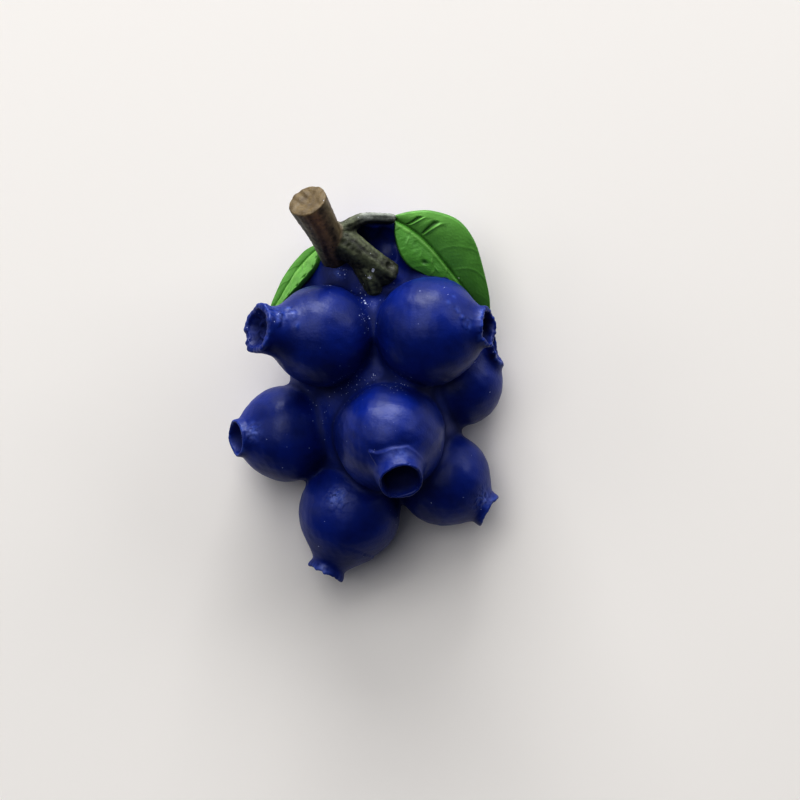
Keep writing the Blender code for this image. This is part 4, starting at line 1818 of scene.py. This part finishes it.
@dataclass(frozen=True)
class BrushedBlue(Finish):
    """Ultramarine acrylic brushed on cast polyresin: deep and satin, with broad soft highlights."""

    name: str = "ultramarine_acrylic_on_polyresin"
    deep: str = "#0B2166"
    full: str = "#0E2A7C"
    worn: str = "#3A56AA"
    # Rubbed paint on crumpled patches, and a painted highlight on the centre crown.
    rubbed_and_highlight: str = "#7482C4"
    # Painted shade: the dark blue laid into the cups and into the grooves that aren't worn.
    cup: str = "#050F38"
    chip: str = "#C4CBE4"
    roughness: float = 0.39
    gloss: float = 0.36
    grain: float = 0.35
    grain_depth: float = 0.032
    patches: Mottle = Mottle(4.0, 0.35, 0.65, detail=4.0)
    scuffs: Mottle = Mottle(0.9, 0.4, 0.62, full=0.75)
    streaks: Mottle = Mottle(0.7, 0.42, 0.6, full=0.75, least=0.2)
    fine_chips: Chips = Chips(0.24, 0.40)
    chipped_where_worn: float = 0.42
    chipped_anywhere: float = 0.003
    stray_chips: Chips = Chips(0.9, 0.11)
    stray_in_grooves: float = 0.10
    stray_anywhere: float = 0.014
    painted_shade_share: float = 0.55
    flakes: tuple[Station, ...] = (
        ((-0.43, 12.86, 0.0), 0.17), ((-0.62, 13.25, 0.0), 0.10), ((-0.95, 13.62, 0.0), 0.09),
        ((0.15, 10.65, 0.0), 0.11), ((-1.15, 14.35, 0.0), 0.09), ((-5.42, 15.35, 0.0), 0.10),
    )

    def flaked(self, tree: bpy.types.NodeTree, place: Any, paint: Any) -> Any:
        """Take larger chips off the paint, placed as seen from above by centre and reach.

        Args:
            tree: The node tree.
            place: The place on the piece.
            paint: The colour's socket.

        Returns:
            The new colour's socket.
        """
        wholly_bare = 0.6
        flat = reckon_vector(tree, "MULTIPLY", place, (1.0, 1.0, 0.0))["Vector"]
        for centre, reach in self.flakes:
            middle = tuple(value * MM for value in centre)
            away = reckon_vector(tree, "DISTANCE", flat, middle)["Value"]
            bare = spread(tree, away, wholly_bare * reach * MM, reach * MM, 1.0, 0.0)
            paint = blend(tree, bare, paint, self.chip)
        return paint

    def material(self) -> bpy.types.Material:
        """The paint: two blues in broad patches, with wear, chips and painted shade.

        It is worn light on the rims, rubbed paler still in a few places and painted pale as a highlight on
        the centre crown, chipped in the grooves, and darkened with painted shade in the grooves that aren't
        worn and in the cups. Wear, grooves and cups are duller.

        Returns:
            The material.
        """
        material, tree, shader, place = self.begin()
        paint = blend(tree, self.patches.share(tree, place), self.deep, self.full)
        scuffed = reckon(tree, "MULTIPLY", attribute(tree, "rim"), self.scuffs.share(tree, place))
        paint = blend(tree, scuffed, paint, self.worn)
        # rubbed paint, and a painted highlight on the centre crown
        rubbed_and_highlight = reckon(tree, "MULTIPLY", attribute(tree, "rubbed_and_highlight"), self.streaks.share(tree, place))
        paint = blend(tree, rubbed_and_highlight, paint, self.rubbed_and_highlight)
        worn, groove, cup = (attribute(tree, name) for name in ("worn", "groove", "cup"))
        often = reckon(tree, "MULTIPLY_ADD", worn, self.chipped_where_worn, self.chipped_anywhere)
        paint = blend(tree, self.fine_chips.spots(tree, place, often), paint, self.chip)
        paint = self.flaked(tree, place, paint)
        seldom = reckon(tree, "MULTIPLY_ADD", groove, self.stray_in_grooves, self.stray_anywhere)
        paint = blend(tree, self.stray_chips.spots(tree, place, seldom), paint, self.chip)
        # painted shade in the grooves that aren't worn and in the cups
        groove_and_cup_shade = reckon(tree, "MAXIMUM", reckon(tree, "SUBTRACT", groove, worn, clamp=True), cup)
        paint = blend(tree, spread(tree, groove_and_cup_shade, 0.0, 1.0, 0.0, self.painted_shade_share), paint, self.cup)
        dull = reckon(tree, "MAXIMUM", reckon(tree, "MAXIMUM", worn, groove), cup)
        self.dress(tree, shader, place, paint, dull)
        return material


@dataclass(frozen=True)
class PaintedBark(Finish):
    """Brown and grey-olive washes on moulded bark, nearly matte, dark in the furrows, with a tan cut end."""

    name: str = "bark_wash_on_polyresin"
    brown: tuple[str, str] = ("#3D2E22", "#947B5C")
    olive: tuple[str, str] = ("#1C1E16", "#646A52")
    grey: tuple[str, str] = ("#4C504A", "#A2A79F")
    tan: tuple[str, str] = ("#53452F", "#716143")
    blush: str = "#B0725A"
    # Painted shade: the near-black laid where the twig lies in shade.
    painted_shade: str = "#17130F"
    bare: str = "#C6C9D4"
    speck: str = "#1E1A15"
    roughness: float = 0.5
    gloss: float = 0.5
    grain: float = 0.25
    grain_depth: float = 0.08
    mottle_size: float = 0.8
    streak_share: float = 0.38
    from_furrow_to_ridge: Stretch = (0.15, 0.85, 0.0, 1.0)
    specks: Chips = Chips(0.7, 0.22)
    specked: float = 0.25
    # Painted glints: pale flecks that stand in for highlights on the olive ridges.
    painted_glints: Chips = Chips(0.35, 0.25)
    painted_glint_share: float = 0.05
    bare_grain: float = 0.24
    bare_edge: Stretch = (0.27, 0.33, 0.0, 0.9)

    def material(self) -> bpy.types.Material:
        """The washes: light on the ridges and dark in the furrows, by part of the twig, with painted shade
        and dark specks.

        Where the twig is olive it has a few pale flecks too, which are painted glints, and the stub has bare
        places.

        Returns:
            The material.
        """
        material, tree, shader, place = self.begin()
        mottle = noise(tree, place, self.mottle_size)
        mottle = reckon(tree, "MULTIPLY_ADD", attribute(tree, "streak"), self.streak_share, mottle)
        ridge = spread(tree, mottle, *self.from_furrow_to_ridge)
        brown, olive, grey, tan = (
            blend(tree, ridge, dark, light) for dark, light in (self.brown, self.olive, self.grey, self.tan))
        blush = reckon(tree, "MULTIPLY", attribute(tree, "blush"), ridge)
        wood = blend(tree, blush, brown, self.blush)
        # the last wash laid on is painted shade
        for wash, colour in (("limb", olive), ("stalk", grey), ("cut", tan), ("painted_shade", self.painted_shade)):
            wood = blend(tree, attribute(tree, wash), wood, colour)
        wood = blend(tree, self.specks.spots(tree, place, self.specked), wood, self.speck)
        ragged = reckon(tree, "MULTIPLY", attribute(tree, "bare"), noise(tree, place, self.bare_grain))
        wood = blend(tree, spread(tree, ragged, *self.bare_edge), wood, self.bare)
        often = reckon(tree, "MULTIPLY", attribute(tree, "limb"), self.painted_glint_share)
        wood = blend(tree, self.painted_glints.spots(tree, place, often), wood, self.bare)
        self.dress(tree, shader, place, wood)
        return material


@dataclass(frozen=True)
class PaintedLeaf(Finish):
    """Leaf-green acrylic on cast polyresin: satin, with painted highlight on ridges and painted shade in
    hollows.
    """

    name: str = "leaf_green_acrylic_on_polyresin"
    dark: str = "#4A8034"
    light: str = "#82BE62"
    # Painted shade in the leaf's hollows and creases.
    hollow: str = "#24501C"
    # Painted highlight on the leaf's ridges.
    edge: str = "#93C46C"
    chip: str = "#D5E2CC"
    roughness: float = 0.42
    gloss: float = 0.4
    grain: float = 0.2
    patch_size: float = 2.2
    patch_share: float = 0.4
    from_dark_to_light: Stretch = (0.2, 1.2, 0.0, 1.0)
    painted_shade_in_hollows: Stretch = (-0.04, -0.22, 0.0, 0.75)
    painted_highlight_on_ridges: Stretch = (0.05, 0.18, 0.0, 0.4)
    nicks: Chips = Chips(1.3, 0.12)
    nicked: float = 0.05

    def material(self) -> bpy.types.Material:
        """The greens, by how light the leaf is there, then painted shade and painted highlight by its relief.

        Returns:
            The material.
        """
        material, tree, shader, place = self.begin()
        patches = noise(tree, place, self.patch_size)
        patchy = reckon(tree, "MULTIPLY_ADD", patches, self.patch_share, attribute(tree, "light"))
        paint = blend(tree, spread(tree, patchy, *self.from_dark_to_light), self.dark, self.light)
        relief = attribute(tree, "relief")
        paint = blend(tree, spread(tree, relief, *self.painted_shade_in_hollows), paint, self.hollow)
        paint = blend(tree, spread(tree, relief, *self.painted_highlight_on_ridges), paint, self.edge)
        paint = blend(tree, self.nicks.spots(tree, place, self.nicked), paint, self.chip)
        self.dress(tree, shader, place, paint)
        return material


@dataclass(frozen=True)
class MattBoard:
    """Plain off-white board, matte."""

    colour: str = "#F0ECE7"
    roughness: float = 0.8

    def material(self) -> bpy.types.Material:
        """The board.

        Returns:
            The material.
        """
        material = bpy.data.materials.new("off_white_board")
        material.use_nodes = True
        shader = material.node_tree.nodes["Principled BSDF"]
        shader.inputs["Base Color"].default_value = linear(self.colour)
        shader.inputs["Roughness"].default_value = self.roughness
        return material


# The studio.


@dataclass(frozen=True)
class SoftPanel:
    """A rectangular area light that faces the bunch: the way to it, its distance, size and power."""

    name: str
    direction: Vec
    distance: float
    size: tuple[float, float]
    power: float
    target: Vec = (0.0, 0.0, 8.0)

    def build(self) -> bpy.types.Object:
        """Hang the panel square to its direction, with its width level.

        Returns:
            The light's object.
        """
        lamp = bpy.data.lights.new(self.name, "AREA")
        lamp.shape = "RECTANGLE"
        lamp.size, lamp.size_y = (size * MM for size in self.size)
        lamp.energy = self.power
        item = bpy.data.objects.new(self.name, lamp)
        heading = unit(self.direction)
        across = unit(np.cross(UP, heading))
        turn = np.stack((across, np.cross(heading, across), heading), axis=1)
        item.rotation_euler = Matrix(turn).to_euler()
        item.location = (np.array(self.target) + heading * self.distance) * MM
        bpy.context.scene.collection.objects.link(item)
        return item


@dataclass(frozen=True)
class Studio:
    """The pale floor, the soft light and the camera that looks straight down.

    The main panel stands low at the twig's end, and dimmer ones fill in from both sides and from above. The
    sky is faint, so what faces away from the panels is dark.
    """

    eye: Vec = (4.43, -0.74, 300.0)
    scale_at_floor: float = 6.765
    picture: float = 800.0
    sensor: float = 36.0
    floor_size: float = 3000.0
    panels: tuple[SoftPanel, ...] = (
        SoftPanel("window", (-0.09, 0.95, 0.27), 1400.0, (950.0, 650.0), 15.2),
        SoftPanel("window_right", (0.35, 0.82, 0.42), 1400.0, (700.0, 550.0), 1.8),
        SoftPanel("upper", (-0.25, 0.62, 0.78), 1400.0, (1100.0, 550.0), 3.2),
        SoftPanel("overhead", (-0.25, 0.25, 0.95), 1400.0, (1100.0, 900.0), 4.9),
        SoftPanel("right", (0.75, 0.55, 0.35), 1400.0, (900.0, 600.0), 3.8),
        SoftPanel("left", (-0.85, 0.25, 0.45), 1400.0, (900.0, 600.0), 1.9),
    )
    sky: str = "#DCE4F8"
    sky_strength: float = 0.075
    nearest: float = 10.0
    look: str = "High Contrast"

    def floor(self) -> bpy.types.Object:
        """A wide square at the height of the flat back.

        Returns:
            The floor's object.
        """
        half = self.floor_size / 2.0
        corners = np.array(((-half, -half, 0.0), (half, -half, 0.0), (half, half, 0.0), (-half, half, 0.0)))
        skin = Skin(corners, np.array(((0, 1, 2), (0, 2, 3))))
        item = skin.piece("floor", MattBoard().material(), {})
        return item

    def lights(self) -> None:
        """The panels, and a faint even sky."""
        for panel in self.panels:
            panel.build()
        world = bpy.data.worlds.new("studio")
        world.use_nodes = True
        ground = world.node_tree.nodes["Background"]
        ground.inputs["Color"].default_value = linear(self.sky)
        ground.inputs["Strength"].default_value = self.sky_strength
        bpy.context.scene.world = world

    def camera(self) -> None:
        """A camera straight above, whose lens gives the picture its scale at the floor."""
        data = bpy.data.cameras.new("camera")
        data.sensor_width = self.sensor
        data.lens = self.eye[2] * self.scale_at_floor / self.picture * self.sensor
        data.clip_start = self.nearest * MM
        item = bpy.data.objects.new("camera", data)
        item.location = [value * MM for value in self.eye]
        bpy.context.scene.collection.objects.link(item)
        bpy.context.scene.camera = item

    def build(self) -> None:
        """Set the stage and how the picture's colours are shown."""
        self.floor()
        self.lights()
        self.camera()
        view = bpy.context.scene.view_settings
        view.view_transform = "Standard"
        view.look = self.look


def main() -> None:
    """Build the studio and each piece of the bunch, and note the size of what was built."""
    logging.basicConfig(level=logging.INFO, format="%(name)s: %(message)s")
    Studio().build()
    pieces = [BlueCasting().build(), Twig().build()]
    pieces += [leaf.build() for leaf in two_leaves()]
    for item in pieces:
        LOG.info("%s: %d faces", item.name, len(item.data.polygons))


if __name__ == "__main__":
    main()
